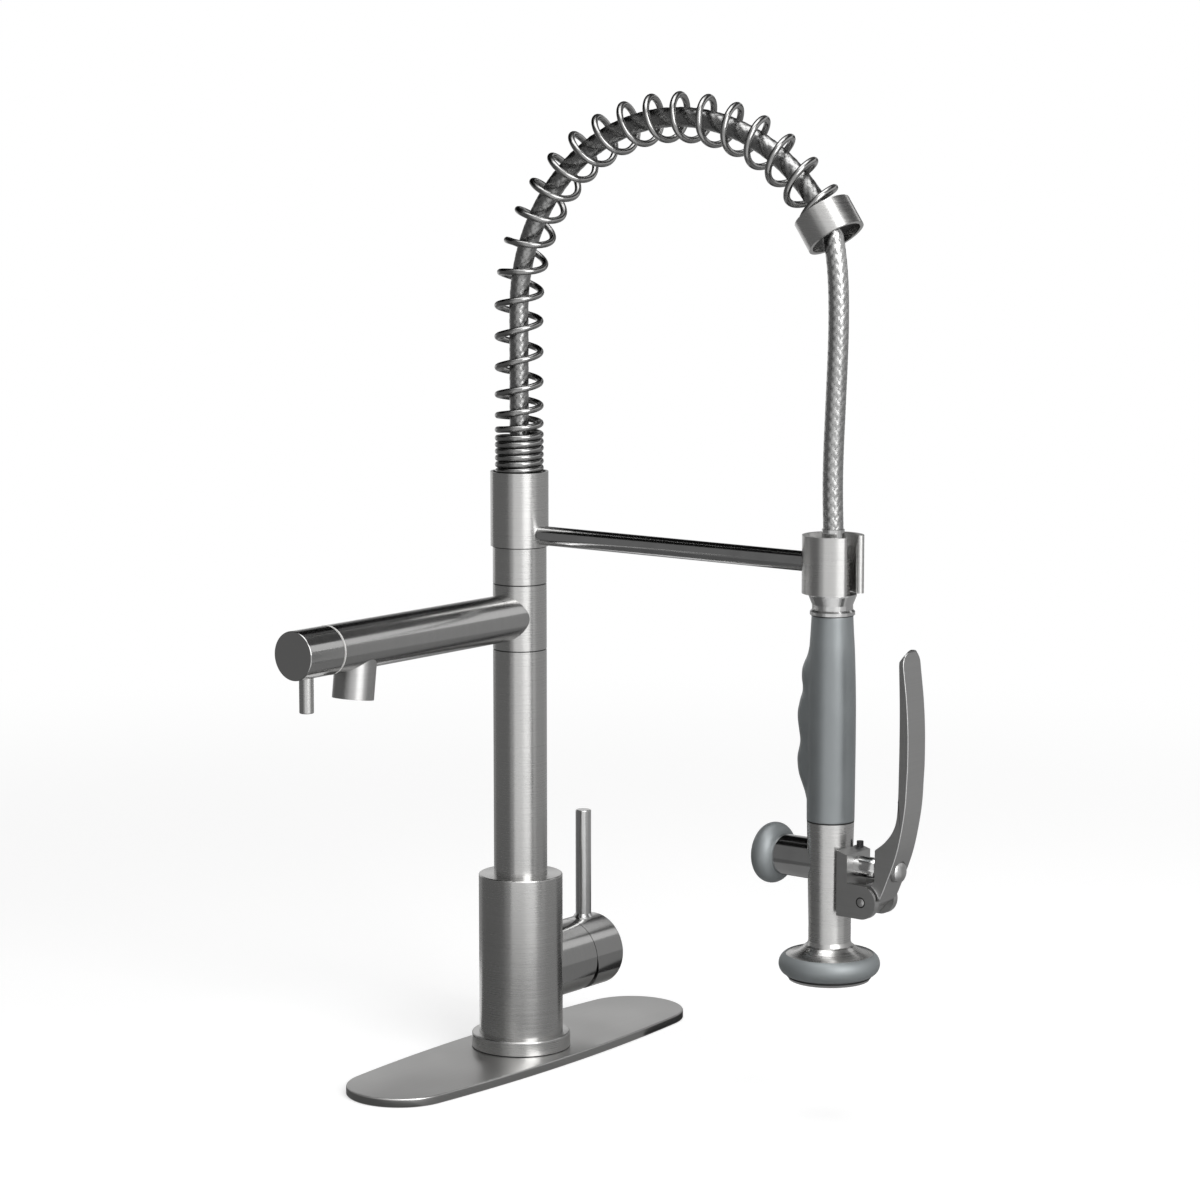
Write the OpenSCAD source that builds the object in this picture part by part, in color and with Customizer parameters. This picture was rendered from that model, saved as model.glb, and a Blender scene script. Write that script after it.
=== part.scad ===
// Spring kitchen faucet. A single-lever mixer stands on an oval deck plate.
// Its column carries a swivelling pot filler spout and, above that, a spring
// arm with a lever sprayer docked in the arm's open ring.
// Origin: the column's axis on the deck. +Z is up, -Y points to the user,
// +X to the mixer handle. The spout lies along -X at rest. Sizes in mm.

/* [Deck plate] */
// Length of the deck plate
plate_l = 250; // [210:1:280]
// Width of the deck plate at its middle
plate_w = 68; // [64:1:80]
// Radius of the plate's round ends
plate_end_r = 28.5; // [24:0.5:30]
// Height of the deck plate
plate_t = 4.5; // [4:0.1:7]
// Sheet thickness of the deck plate
plate_wall = 1.5; // [1:0.1:2]

/* [Valve body] */
// Radius of the valve body
body_r = 22.2; // [21.5:0.1:24]
// Height of the valve body above its seal
body_h = 93.2; // [88:0.1:110]
// Radius of the ring at the body's foot
foot_r = 26.2; // [25:0.1:28]
// Height of the ring at the body's foot
foot_h = 7.6; // [5:0.1:12]
// Radius of the threaded socket for the mounting shank
shank_r = 14; // [13.5:0.1:15]
// Radius of the threaded water inlets
inlet_r = 5; // [4:0.1:5.2]
// Radius of the side boss and the handle cap
boss_r = 19.5; // [19.2:0.1:20.5]
// Height of the handle's axis above the deck
boss_z = 45.6; // [45:0.1:52]
// Distance from the column's axis to the boss's end
boss_end = 40.9; // [40.9:0.1:46]

/* [Mixer handle] */
// Length of the handle cap
cap_l = 22.7; // [20:0.1:28]
// Radius of the handle rod
rod_r = 4.2; // [3:0.1:5]
// Height of the handle rod's top above the handle's axis
rod_up = 78.2; // [50:0.1:110]

/* [Column] */
// Radius of the riser tube, the spout sleeve and the spacer
column_r = 14.1; // [13.8:0.1:16]
// Radius of the inner stem that carries the swivels
stem_r = 10; // [9.5:0.1:10.4]
// Length of the riser tube that shows
riser_l = 120.1; // [80:0.1:200]
// Height of the spout sleeve
sleeve_h = 34.1; // [32:0.1:44]
// Height of the spacer above the spout sleeve
spacer_h = 18.9; // [10:0.1:40]

/* [Pot filler spout] */
// Radius of the spout tube
spout_r = 12.3; // [12.1:0.1:13]
// Distance from the column's axis to the end of the spout tube
spout_l = 148.7; // [125:0.1:160]
// Length of the knob at the spout's end
knob_l = 24.6; // [20:0.1:26]
// Radius of the pin that hangs from the knob
pin_r = 3.6; // [3:0.1:4.2]
// Distance from the spout's axis to the pin's lower end
pin_drop = 29.4; // [22:0.1:45]
// Radius of the outlet nozzle
nozzle_r = 10.5; // [10.2:0.1:11.4]
// Distance from the spout's axis to the nozzle's mouth
nozzle_drop = 26.9; // [22:0.1:40]
// Lean of the nozzle towards the spout's end, in degrees
nozzle_lean = 7.5; // [0:0.5:12]

/* [Spring arm] */
// Radius of the arm collar
collar_r = 15.2; // [15.1:0.1:17]
// Height of the arm collar
collar_h = 39; // [37:0.1:55]
// Radius of the arm rod
arm_r = 5; // [4:0.1:5.6]
// Distance from the column's axis to the sprayer's axis
reach = 198.2; // [197:0.1:200]
// Outer radius of the dock ring
dock_r = 15.2; // [14.6:0.1:18]
// Inner radius of the dock ring
dock_bore_r = 11; // [10.6:0.1:11.6]
// Height of the dock ring
dock_h = 28.6; // [24:0.1:32]
// Width of the slot that the hose leaves through
dock_slot = 10.8; // [10.4:0.1:13]

/* [Support spring] */
// Outer radius of the spring
coil_r = 12.8; // [12.6:0.1:13.1]
// Diameter of the spring wire
wire_d = 2.75; // [2:0.05:2.9]
// Close turns at the foot of the spring
close_turns = 6.25; // [3.25:1:7.25]
// Turns over which the spring opens
ramp_turns = 3.75; // [1.75:1:5.75]
// Open turns over the arch
open_turns = 18.25; // [14.25:1:19.25]
// Pitch of the close turns
close_pitch = 3.45; // [3.4:0.05:4.2]
// Straight height of the spring above the collar
straight_h = 83.4; // [80:0.1:90]
// Half width of the arch
arch_a = 103.5; // [102:0.1:105]
// Rise of the arch above the straight part
arch_b = 100; // [96:0.1:104]
// Angle that the arch runs through before the spring cap, in degrees
arch_deg = 146.5; // [144:0.5:149]

/* [Sprayer] */
// Radius of the grip where it meets the metal body
grip_r = 11.8; // [11.7:0.1:12.4]
// Length of the grip
grip_l = 103; // [95:0.1:120]
// Radius of the sprayer's metal body at its top
head_r = 11.7; // [11.4:0.1:11.8]
// Radius of the bell's rim
bell_r = 21.9; // [21:0.1:23]
// Length of the metal body, from the grip to the bell's rim
head_l = 67.3; // [64:0.1:80]
// Radius of the bumper's section
bumper_r = 5.8; // [5.2:0.1:6]
// Distance from the sprayer's axis to the middle of the bumper's section
bumper_at = 19.4; // [19.2:0.1:20.4]
// Depth of the side valve below the grip
valve_drop = 20.5; // [20:0.1:22]
// Distance from the sprayer's axis to the middle of the side bumper
side_reach = 34.2; // [32:0.1:45]

/* [Trigger lever] */
// Width of the lever's blade
blade_w = 15.3; // [14:0.1:18]
// Height of the lever's tip above its pivot
blade_up = 126; // [120:0.5:132]
// Radius of the pivot pin
pivot_r = 2.4; // [2:0.1:3]
// Distance from the sprayer's axis to the pivot pin
pivot_out = 25; // [25:0.1:25.5]

/* [Hidden] */
$fn = 64;

// Overrun of every cut past the face it opens, and the fits.
over = 1;
running_fit = 0.05;
loose_fit = 0.3;
axial_play = 0.1;
shadow_gap = 0.4;

// Heights, stacked from the deck.
seal_t = 0.5;
washer_t = 0.5;
seal_top = plate_t + seal_t;
body_top = seal_top + body_h;
riser_top = body_top + riser_l;
sleeve_z0 = riser_top + washer_t + axial_play;
sleeve_z1 = sleeve_z0 + sleeve_h;
spout_z = (sleeve_z0 + sleeve_z1) / 2;
spacer_z0 = sleeve_z1 + axial_play + washer_t;
spacer_z1 = spacer_z0 + spacer_h;
collar_z0 = spacer_z1 + washer_t + axial_play;
collar_z1 = collar_z0 + collar_h;

// Deck plate: arcs of a large circle between round ends, which they touch.
plate_edge = 0.8;
plate_mid = plate_w / 2;
plate_cx = plate_l / 2 - plate_end_r;
side_arc_r = (plate_cx * plate_cx + plate_mid * plate_mid
    - plate_end_r * plate_end_r) / (2 * (plate_mid - plate_end_r));
side_arc_deg = atan2(side_arc_r - plate_mid, plate_cx);
half_turn = 180;
end_steps = 24;
side_steps = 10;
side_step = (half_turn - 2 * side_arc_deg) / (side_steps + 2);
spigot_r = 17.5;
plate_hole_r = spigot_r + loose_fit;
liner_play = 0.1;

// Valve body, with its water ways.
socket_depth = 20;
inlet_depth = 12;
inlet_x = -3;
inlet_y = 7;
port_r = 3;
port_z = boss_z - 7.6;
outlet_z = boss_z + 8.5;
outlet_r = 4.5;
stem_z0 = body_top - 28.2;
riser_z0 = body_top - 8;
body_edge = 0.8;
foot_edge = 1;
foot_bore_r = body_r + running_fit;

// Mixer cartridge, along +X from the chamber's floor.
chamber_x = boss_end - 35.4;
chamber_r = boss_r - 2;
housing_l = 25;
housing_neck_r = 15.4;
housing_neck_l = 6.5;
housing_floor = 20.5;
housing_lip = 3;
rotor_r = 12.7;
rotor_neck_r = 11.2;
rotor_l = 12;
mix_r = 10;
mix_depth = 3;
nut_l = 8;
nut_slot = 3;
tilt_x = boss_end - 4.9;
stem_pin_r = 1.5;
stem_pin_half = 9;
stem_half = 3;
stem_slot_up = 5.2;
stem_slot_back = 5.1;
stem_tail = 4;
shoulder_x = chamber_x + housing_l;
neck_x = shoulder_x + housing_neck_l;
rotor_x = chamber_x + housing_floor + axial_play;

// Handle cap: its lower half is cut back so that it can tilt.
cap_x0 = boss_end + shadow_gap;
cap_x1 = cap_x0 + cap_l;
cap_relief = 5.7;
relief_lead = 1;
cap_edge = 0.8;
cap_wall = 3.2;
cap_hollow = 4.6;
stem_grip = 8;
rod_x = cap_x0 + 12.2;
rod_depth = 7;
rod_foot_r = 5.4;
rod_foot_h = 1.6;
rod_edge = 0.6;
screw_x = cap_x0 + 9;
screw_r = 2.2;
screw_l = 7;
socket_r = 1.2;

// Column.
washer_r = 13.6;
riser_bore_r = 12.3;
stem_bore_r = 6.5;
stem_end_r = 9;
swivel_depth = 18;
nut_z0 = collar_z0 + swivel_depth + axial_play;
stem_nut_r = 12.4;
stem_nut_h = 6;
port_up_r = 4;
ring_wire_r = 0.62;
ring_groove_r = 8.8;
ring_groove_h = 1.4;
ring_inset = 4;
ring_in_collar = 8;
sleeve_groove_r = 11.6;
sleeve_groove_h = 12;

// Spout: everything is placed along -X from the column's axis.
spout_bore_r = 9.3;
nozzle_back = 21.4;
nozzle_x = nozzle_back - spout_l;
nozzle_bore_r = 8.7;
nozzle_throat_r = 8;
nozzle_seat = 8;
aerator_t = 6.5;
aerator_hole_r = 0.9;
aerator_rows = [6, 12];
aerator_shares = [0.35, 0.7];
valve_l = 34;
valve_inset = 1.5;
valve_end_t = 3;
rotor_bore_r = 6;
rotor_way_r = 4;
window_r = 4.4;
rotor_window_r = 3.9;
knob_washer_t = 0.6;
knob_play = 0.2;
knob_edge = 0.6;
knob_x0 = -(spout_l + knob_washer_t + knob_play);
knob_x1 = knob_x0 - knob_l;
knob_pin_x = knob_x0 - 15.1;
pin_depth = 4;
pin_edge = 0.5;
spline_r = 4.5;
spline_l = 9;
valve_x0 = -(spout_l - valve_inset);

// Arm collar: a cup at its top takes the foot of the spring.
cup_r = 13.9;
seat_z = collar_z1 - 6;
thread_r = 12.9;
anchor_t = 5;
anchor_r = 9.6;
anchor_up = 16;
anchor_socket = 8;
anchor_bore_r = 3.5;
arm_z = collar_z0 + 6.3;
arm_root = 3.6;
arm_tip = 2.4;
dock_z0 = arm_z - dock_h / 2;
funnel_r = 12.7;
funnel_h = 6;
jaw_r = (dock_r - dock_bore_r) / 2;
jaw_x = dock_slot / 2 + jaw_r;
jaw_y = sqrt(pow(dock_r - jaw_r, 2) - jaw_x * jaw_x);

// Spring: its path is a straight line, an arc of an ellipse and a short
// straight end in the cap. Lengths along it are looked up from chords.
coil_mid_r = coil_r - wire_d / 2;
path_z0 = seat_z + wire_d;
arch_z = collar_z1 + straight_h;
line_l = arch_z - path_z0;
arc_steps = 60;
cup_depth = 3.6;
web_t = 3;
cap_len = 15.4;
cap_r = 14.75;
cap_cup_r = 13.5;
cap_hose_r = 5.4;
cap_mouth_r = 12.9;
grommet_r = 12.8;
grommet_t = 5;
rings_per_turn = 8;
wire_sides = 6;
coil_start_deg = 49;
hose_r = 4.95;
hose_sides = 12;
hose_rings = 40;

// Sprayer, stacked down from the dock ring.
neck_h = 10.2;
neck_top = dock_z0 - loose_fit;
neck_z0 = neck_top - neck_h;
grip_z0 = neck_z0 - grip_l;
bell_z = grip_z0 - head_l;
valve_z = grip_z0 - valve_drop;
bumper_z = bell_z - 4.8;
face_t = 2;
face_z1 = bumper_z - bumper_r;
face_z0 = face_z1 - face_t;
neck_r = 11.85;
neck_lip = 0.8;
neck_waist_r = 10.1;
neck_waist_h = 4.9;
neck_foot_r = 11.1;
neck_foot_h = 1.6;
neck_slope_h = 1;
tube_r = 7.9;
tube_bore_r = 4.5;
tube_in_neck = 5;
tube_in_head = 10;
hose_nut_r = 8.5;
hose_nut_h = 17;
ferrule_r = 5.6;
ferrule_h = 14.7;

// Grip: shares of its length, from below, and of its radius.
barrel_shares = [[0, 1], [0.15, 1.01], [0.4, 1.02], [0.6, 1.01], [0.8, 0.96],
    [0.92, 0.9], [1, 0.865]];
lobe_shares = [[0.08, 0.95], [0.11, 1.04], [0.14, 1.12], [0.18, 1.27],
    [0.215, 1.4], [0.25, 1.47], [0.285, 1.5], [0.31, 1.49], [0.34, 1.43],
    [0.37, 1.37], [0.395, 1.37], [0.43, 1.42], [0.47, 1.48], [0.5, 1.505],
    [0.53, 1.49], [0.56, 1.43], [0.59, 1.36], [0.62, 1.27], [0.65, 1.26],
    [0.68, 1.3], [0.705, 1.31], [0.735, 1.28], [0.765, 1.18], [0.79, 1.07],
    [0.82, 0.98], [0.86, 0.9]];
lobe_out = 8.2;

// Metal body of the sprayer.
waist_r = head_r - 1.2;
waist_z = bell_z + 15.8;
flare_z = bell_z + 6.8;
flare_r = 12.4;
flare_h = 4.4;
flare_step = 1;
dish_shares = [[0.12, 0.02], [0.25, 0.07], [0.4, 0.17], [0.55, 0.31], [0.7, 0.49],
    [0.85, 0.72]];
rim_t = 0.9;
core_r = 13.4;
core_bore_r = 11;
core_bore_h = 9;
head_port_r = 2.2;
chamber_head_r = 7.2;
chamber_front = 8.5;
front_bore_r = 5.2;
face_r = 20.7;
face_edge = 0.6;
face_ring_t = 1.5;
face_ring_h = 3;
jet_r = 0.9;
jet_counts = [1, 8, 14];
jet_shares = [0, 0.22, 0.4];

// Side valve: the spool closes the two ports, and its stem leaves through
// the bracket to the lever. Its distances run from the sprayer's axis.
valve_cap_r = 10.2;
valve_cap_end = side_reach + 2.3;
cap_bore_end = side_reach - 4.2;
side_bumper_r = 6;
side_bumper_at = 9.3;
spool_front = 8.4;
land_t = 1;
waist_back = 2.6;
spool_back = 8;
spool_r = 7.12;
spool_waist_r = 4;
spool_groove_r = 6.3;
spool_groove_at = 5.3;
spool_ring_r = 0.41;
plunger_r = front_bore_r - running_fit;
plunger_gap = 0.4;
return_mid_r = 5.7;
return_wire_r = 0.6;
return_turns = 8;

// Bracket: a block on the front of the body, with two cheeks for the pin.
block_half = 10.15;
block_back = 10.7;
block_front = 16.9;
block_up = 8.5;
block_fall = 1.7;
cheek_t = 3.5;
cheek_r = 8.4;
pivot_down = 15.7;
pivot_z = valve_z - pivot_down;
cheek_in = block_half - cheek_t;
stud_r = 1.7;
stud_x = 7.6;
stud_out = 12.6;
stud_z1 = valve_z + 10.6;
stud_l = 5;

// Lever: outline as shares of its height above the pivot, outward and up.
lever_shares = [
    [0.0492, 0.09], [0.0492, 0.21], [0.095, 0.247], [0.131, 0.294],
    [0.1484, 0.346], [0.154, 0.424], [0.1556, 0.502], [0.1571, 0.633],
    [0.1563, 0.783], [0.1508, 0.956], [0.1722, 1], [0.173, 0.946],
    [0.1897, 0.807], [0.1976, 0.688], [0.1984, 0.569], [0.1952, 0.498],
    [0.1857, 0.371], [0.1532, 0.212], [0.1056, 0.085], [0.0698, 0.006],
    [0.0413, -0.016], [0, 0]];
lever_hub_r = 7.7;
lever_hub_half = cheek_in - 0.15;
cheek_clear = 0.6;
blade_in = pivot_out + 6.2;
lever_screw_r = 5.2;
lever_shank_r = 2.5;
lever_seat = pivot_out + 12.6;
lever_screw_l = 4;
lever_dome = 2;
lever_shank_l = 5;

// Route of the hose's free stretch, [y, z], chosen by hand.
drop_sides = 10;
drop_route = [[-196.1, 441], [-197.2, 436.5], [-198.2, 430.5],
    [-199.2, 423], [-199.9, 414], [-200.2, 404], [-200.2, 392],
    [-199.8, 378], [-199.2, 364], [-198.6, 350], [-198, 336],
    [-197.7, 322], [-197.8, 310], [-198.1, 301], [-198.2, 296.5]];

// General helpers.
function unit(v) = v / norm(v);
function sums(v) = [for (i = 0, a = 0; i < len(v); a = a + v[i], i = i + 1) a + v[i]];

// Point, direction and outward normal of the spring's path, as [y, z].
function arc_point(phi) =
    [arch_a * (cos(phi) - 1), arch_z + arch_b * sin(phi)];
function arc_dir(phi) = unit([-arch_a * sin(phi), arch_b * cos(phi)]);
arc_chords = [for (i = [1 : arc_steps])
    norm(arc_point(arch_deg * i / arc_steps)
        - arc_point(arch_deg * (i - 1) / arc_steps))];
arc_lengths = concat([0], sums(arc_chords));
arc_table = [for (i = [0 : arc_steps]) [arc_lengths[i], arch_deg * i / arc_steps]];
arc_l = arc_lengths[arc_steps];
path_l = line_l + arc_l + cup_depth - wire_d;
function path_phi(s) = lookup(s - line_l, arc_table);
function path_dir(s) = s < line_l ? [0, 1] : arc_dir(path_phi(s));
function path_point(s) =
    s < line_l ? [0, path_z0 + s]
    : s < line_l + arc_l ? arc_point(path_phi(s))
    : arc_point(arch_deg) + (s - line_l - arc_l) * arc_dir(arch_deg);
function path_out(s) = [path_dir(s)[1], -path_dir(s)[0]];
cap_dir = arc_dir(arch_deg);
cap_at = arc_point(arch_deg);
cap_lean = atan2(-cap_dir[0], -cap_dir[1]);

// Length along the path after n turns: close, then opening, then open.
open_pitch = (path_l - close_pitch * (close_turns + ramp_turns / 2))
    / (open_turns + ramp_turns / 2);
ramp_l = ramp_turns * (close_pitch + open_pitch) / 2;
function turn_length(n) =
    n < close_turns ? n * close_pitch
    : n < close_turns + ramp_turns ? n * close_pitch
        + pow(n - close_turns, 2) * (open_pitch - close_pitch) / (2 * ramp_turns)
    : close_turns * close_pitch + ramp_l
        + (n - close_turns - ramp_turns) * open_pitch;

// Centre of the wire after n turns of a right-handed coil.
function coil_ray(n) =
    let (o = path_out(turn_length(n)), q = coil_start_deg + 360 * n)
    [-sin(q), cos(q) * o[0], cos(q) * o[1]];
function coil_point(n) =
    let (p = path_point(turn_length(n)))
    [0, p[0], p[1]] + coil_mid_r * coil_ray(n);
coil_turns = close_turns + ramp_turns + open_turns;
coil_rings = coil_turns * rings_per_turn;
coil_points = [for (i = [0 : coil_rings]) coil_point(i / rings_per_turn)];
coil_rays = [for (i = [0 : coil_rings]) coil_ray(i / rings_per_turn)];
coil_line = concat([coil_points[0] - [0, 0, wire_d]], coil_points,
    [coil_points[coil_rings] + wire_d * [0, cap_dir[0], cap_dir[1]]]);
coil_line_rays = concat([coil_rays[0]], coil_rays, [coil_rays[coil_rings]]);
coil_gap = min([for (i = [0 : coil_rings - 5])
    min([for (j = [i + 5 : min(coil_rings, i + 3 * rings_per_turn)])
        norm(coil_points[j] - coil_points[i])])]) - wire_d;

// Direction of a line of points at point i, square at both ends.
function line_dir(p, i, first, last) =
    i == 0 ? first
    : i == len(p) - 1 ? last
    : unit(unit(p[i + 1] - p[i]) + unit(p[i] - p[i - 1]));

// Rings of points round a line, from a ray beside it at each point.
function tube_points(p, rays, r, sides, first, last) =
    [for (i = [0 : len(p) - 1])
        let (t = line_dir(p, i, first, last),
            a = unit(rays[i] - (rays[i] * t) * t), b = cross(t, a))
        for (j = [0 : sides - 1])
            p[i] + r * (cos(360 * j / sides) * a + sin(360 * j / sides) * b)];

// Triangles of such a tube with flat ends.
function tube_faces(rings, sides) = concat(
    [for (i = [0 : rings - 2], j = [0 : sides - 1])
        let (k = (j + 1) % sides)
        [i * sides + j, (i + 1) * sides + j, (i + 1) * sides + k]],
    [for (i = [0 : rings - 2], j = [0 : sides - 1])
        let (k = (j + 1) % sides)
        [i * sides + j, (i + 1) * sides + k, i * sides + k]],
    [for (j = [1 : sides - 2]) [0, j, j + 1]],
    [for (j = [1 : sides - 2])
        let (e = (rings - 1) * sides) [e, e + j + 1, e + j]]);

module tube(p, rays, r, sides, first, last) {
    polyhedron(points = tube_points(p, rays, r, sides, first, last),
        faces = tube_faces(len(p), sides));
}

// Solids that start at x or y and run along +X or +Y.
module along_x(x) {
    translate([x, 0, 0]) rotate([0, 90, 0]) children();
}

module along_y(y) {
    translate([0, y, 0]) rotate([-90, 0, 0]) children();
}

// A hole of length h whose first face is open.
module hole(r, h) {
    translate([0, 0, -over]) cylinder(r = r, h = h + over);
}

// A ring of rectangular section.
module ring(r_out, r_in, h) {
    difference() {
        cylinder(r = r_out, h = h);
        hole(r_in, h + over);
    }
}

// A disc whose upper edge is rounded.
module soft_disc(r, h, edge) {
    rotate_extrude() {
        square([r - edge, h]);
        square([r, h - edge]);
        translate([r - edge, h - edge]) circle(r = edge);
    }
}

// A bar with both ends rounded.
module soft_bar(r, h, edge) {
    rotate_extrude() {
        translate([0, edge]) square([r, h - 2 * edge]);
        square([r - edge, h]);
        for (z = [edge, h - edge]) translate([r - edge, z]) circle(r = edge);
    }
}

// A ring of round section.
module round_ring(at, r) {
    rotate_extrude() translate([at, 0]) circle(r = r);
}

// Outline of the deck plate, set in by a margin.
function arc_points(x, y, r, a0, a1, n) =
    [for (i = [0 : n]) [x + r * cos(a0 + (a1 - a0) * i / n), y + r * sin(a0 + (a1 - a0) * i / n)]];
function plate_outline(inset) = let (
    e = plate_end_r - inset, b = side_arc_r - inset, y = side_arc_r - plate_mid,
    q = side_arc_deg)
    concat(arc_points(plate_cx, 0, e, -q, q, end_steps),
        arc_points(0, -y, b, q + side_step, half_turn - q - side_step, side_steps),
        arc_points(-plate_cx, 0, e, half_turn - q, half_turn + q, end_steps),
        arc_points(0, y, b, half_turn + q + side_step, 2 * half_turn - q - side_step, side_steps));

module plate_shape(h, inset) {
    linear_extrude(h) polygon(plate_outline(inset));
}

module deck_plate() {
    color("silver") difference() {
        union() {
            plate_shape(plate_t - plate_edge, 0);
            plate_shape(plate_t, plate_edge / 2);
        }
        translate([0, 0, -over]) plate_shape(plate_t - plate_wall + over, plate_wall);
        hole(plate_hole_r, plate_t + over);
    }
}

module deck_liner() {
    color("dimgray") difference() {
        plate_shape(plate_t - plate_wall, plate_wall + liner_play);
        hole(plate_hole_r, plate_t);
    }
}

module base_seal() {
    color("black") translate([0, 0, plate_t])
        ring(foot_r - washer_t, plate_hole_r, seal_t);
}

module base_ring() {
    color("silver") translate([0, 0, seal_top]) difference() {
        soft_disc(foot_r, foot_h, foot_edge);
        hole(foot_bore_r, foot_h + over);
    }
}

// Valve body with its boss, socket, inlets, chamber and water ways.
module valve_body() {
    color("silver") difference() {
        union() {
            cylinder(r = spigot_r, h = seal_top + over);
            translate([0, 0, seal_top]) soft_disc(body_r, body_h, body_edge);
            translate([0, 0, boss_z]) along_x(0) cylinder(r = boss_r, h = boss_end);
        }
        hole(shank_r, socket_depth);
        for (s = [-1, 1]) {
            translate([inlet_x, s * inlet_y, socket_depth]) {
                hole(inlet_r, inlet_depth);
                cylinder(r = port_r, h = port_z - socket_depth);
            }
            translate([0, s * inlet_y, port_z]) along_x(inlet_x)
                cylinder(r = port_r, h = chamber_x - inlet_x + over);
        }
        translate([0, 0, outlet_z]) along_x(0)
            cylinder(r = outlet_r, h = chamber_x + over);
        translate([0, 0, outlet_z]) cylinder(r = outlet_r, h = body_top - outlet_z);
        translate([0, 0, stem_z0]) cylinder(r = stem_r, h = body_h);
        translate([0, 0, riser_z0]) cylinder(r = column_r + running_fit, h = body_h);
        translate([0, 0, boss_z]) along_x(chamber_x)
            cylinder(r = chamber_r, h = boss_end);
    }
}

// Cartridge housing: ports in its floor, a lip that holds the rotor.
module cartridge_housing() {
    color("ivory") translate([0, 0, boss_z]) difference() {
        union() {
            along_x(chamber_x) cylinder(r = chamber_r - axial_play, h = housing_l);
            along_x(shoulder_x) cylinder(r = housing_neck_r, h = housing_neck_l);
        }
        along_x(chamber_x + housing_floor) cylinder(r = rotor_r + running_fit,
            h = housing_l - housing_floor + housing_neck_l - housing_lip);
        along_x(chamber_x + housing_floor)
            cylinder(r = rotor_neck_r + running_fit, h = housing_l);
        for (s = [-1, 1]) translate([0, s * inlet_y, port_z - boss_z])
            along_x(chamber_x) hole(port_r, housing_floor + over);
        translate([0, 0, outlet_z - boss_z]) along_x(chamber_x)
            hole(port_r, housing_floor + over);
    }
}

module cartridge_nut() {
    color("goldenrod") translate([0, 0, boss_z]) along_x(shoulder_x) difference() {
        ring(chamber_r - axial_play, housing_neck_r, nut_l);
        for (a = [0, 90]) rotate([0, 0, a])
            translate([-boss_r, -nut_slot / 2, nut_l - nut_slot])
            cube([2 * boss_r, nut_slot, nut_slot + over]);
    }
}

module riser_tube() {
    color("silver") translate([0, 0, riser_z0])
        ring(column_r, riser_bore_r, riser_top - riser_z0);
}

// Inner stem: water way, spout port and grooves for the sealing rings.
stem_ring_z = [sleeve_z0 + ring_inset, sleeve_z1 - ring_inset, collar_z0 + ring_in_collar];

module riser_stem() {
    color("goldenrod") difference() {
        union() {
            translate([0, 0, stem_z0]) cylinder(r = stem_r, h = nut_z0 - stem_z0);
            translate([0, 0, stem_z0])
                cylinder(r = stem_end_r, h = nut_z0 + stem_nut_h - stem_z0);
        }
        translate([0, 0, stem_z0]) hole(stem_bore_r, body_h + collar_z1);
        translate([0, 0, spout_z]) for (a = [0, 90]) rotate([0, 0, a])
            along_x(-column_r) cylinder(r = port_up_r, h = 2 * column_r);
        for (z = stem_ring_z) translate([0, 0, z - ring_groove_h / 2])
            ring(stem_r + over, ring_groove_r, ring_groove_h);
    }
}

module swivel_washers() {
    color("black") for (z = [riser_top, spacer_z0 - washer_t, spacer_z1])
        translate([0, 0, z]) ring(washer_r, stem_r, washer_t);
}

module stem_rings() {
    color("black") for (z = stem_ring_z) translate([0, 0, z])
        round_ring(ring_groove_r + ring_wire_r, ring_wire_r);
}

module riser_spacer() {
    color("silver") translate([0, 0, spacer_z0])
        ring(column_r, stem_r + running_fit, spacer_h);
}

module stem_nut() {
    color("goldenrod") translate([0, 0, nut_z0]) difference() {
        cylinder(r = stem_nut_r, h = stem_nut_h, $fn = 6);
        hole(stem_end_r, stem_nut_h + over);
    }
}

// Mixer rotor: a disc with a neck; the stem tilts in its slot.
module cartridge_rotor() {
    color("dimgray") translate([0, 0, boss_z]) difference() {
        union() {
            along_x(rotor_x) cylinder(r = rotor_r,
                h = neck_x - housing_lip - axial_play - rotor_x);
            along_x(rotor_x) cylinder(r = rotor_neck_r, h = rotor_l);
        }
        along_x(rotor_x) hole(mix_r, mix_depth);
        translate([tilt_x - stem_slot_back, -stem_half - loose_fit, -stem_slot_up])
            cube([housing_l, 2 * (stem_half + loose_fit), 2 * stem_slot_up]);
        translate([tilt_x, 0, 0]) along_y(-rotor_r) cylinder(r = stem_pin_r, h = 2 * rotor_r);
    }
}

module stem_pin() {
    color("silver") translate([tilt_x, 0, boss_z]) along_y(-stem_pin_half)
        cylinder(r = stem_pin_r, h = 2 * stem_pin_half);
}

module lever_stem() {
    stem_l = cap_x0 + cap_hollow + stem_grip - tilt_x + stem_tail;
    color("gray") translate([0, 0, boss_z]) difference() {
        translate([tilt_x - stem_tail, -stem_half, -stem_half])
            cube([stem_l, 2 * stem_half, 2 * stem_half]);
        translate([tilt_x, 0, 0]) along_y(-rotor_r)
            cylinder(r = stem_pin_r + running_fit, h = 2 * rotor_r);
    }
}

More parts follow.
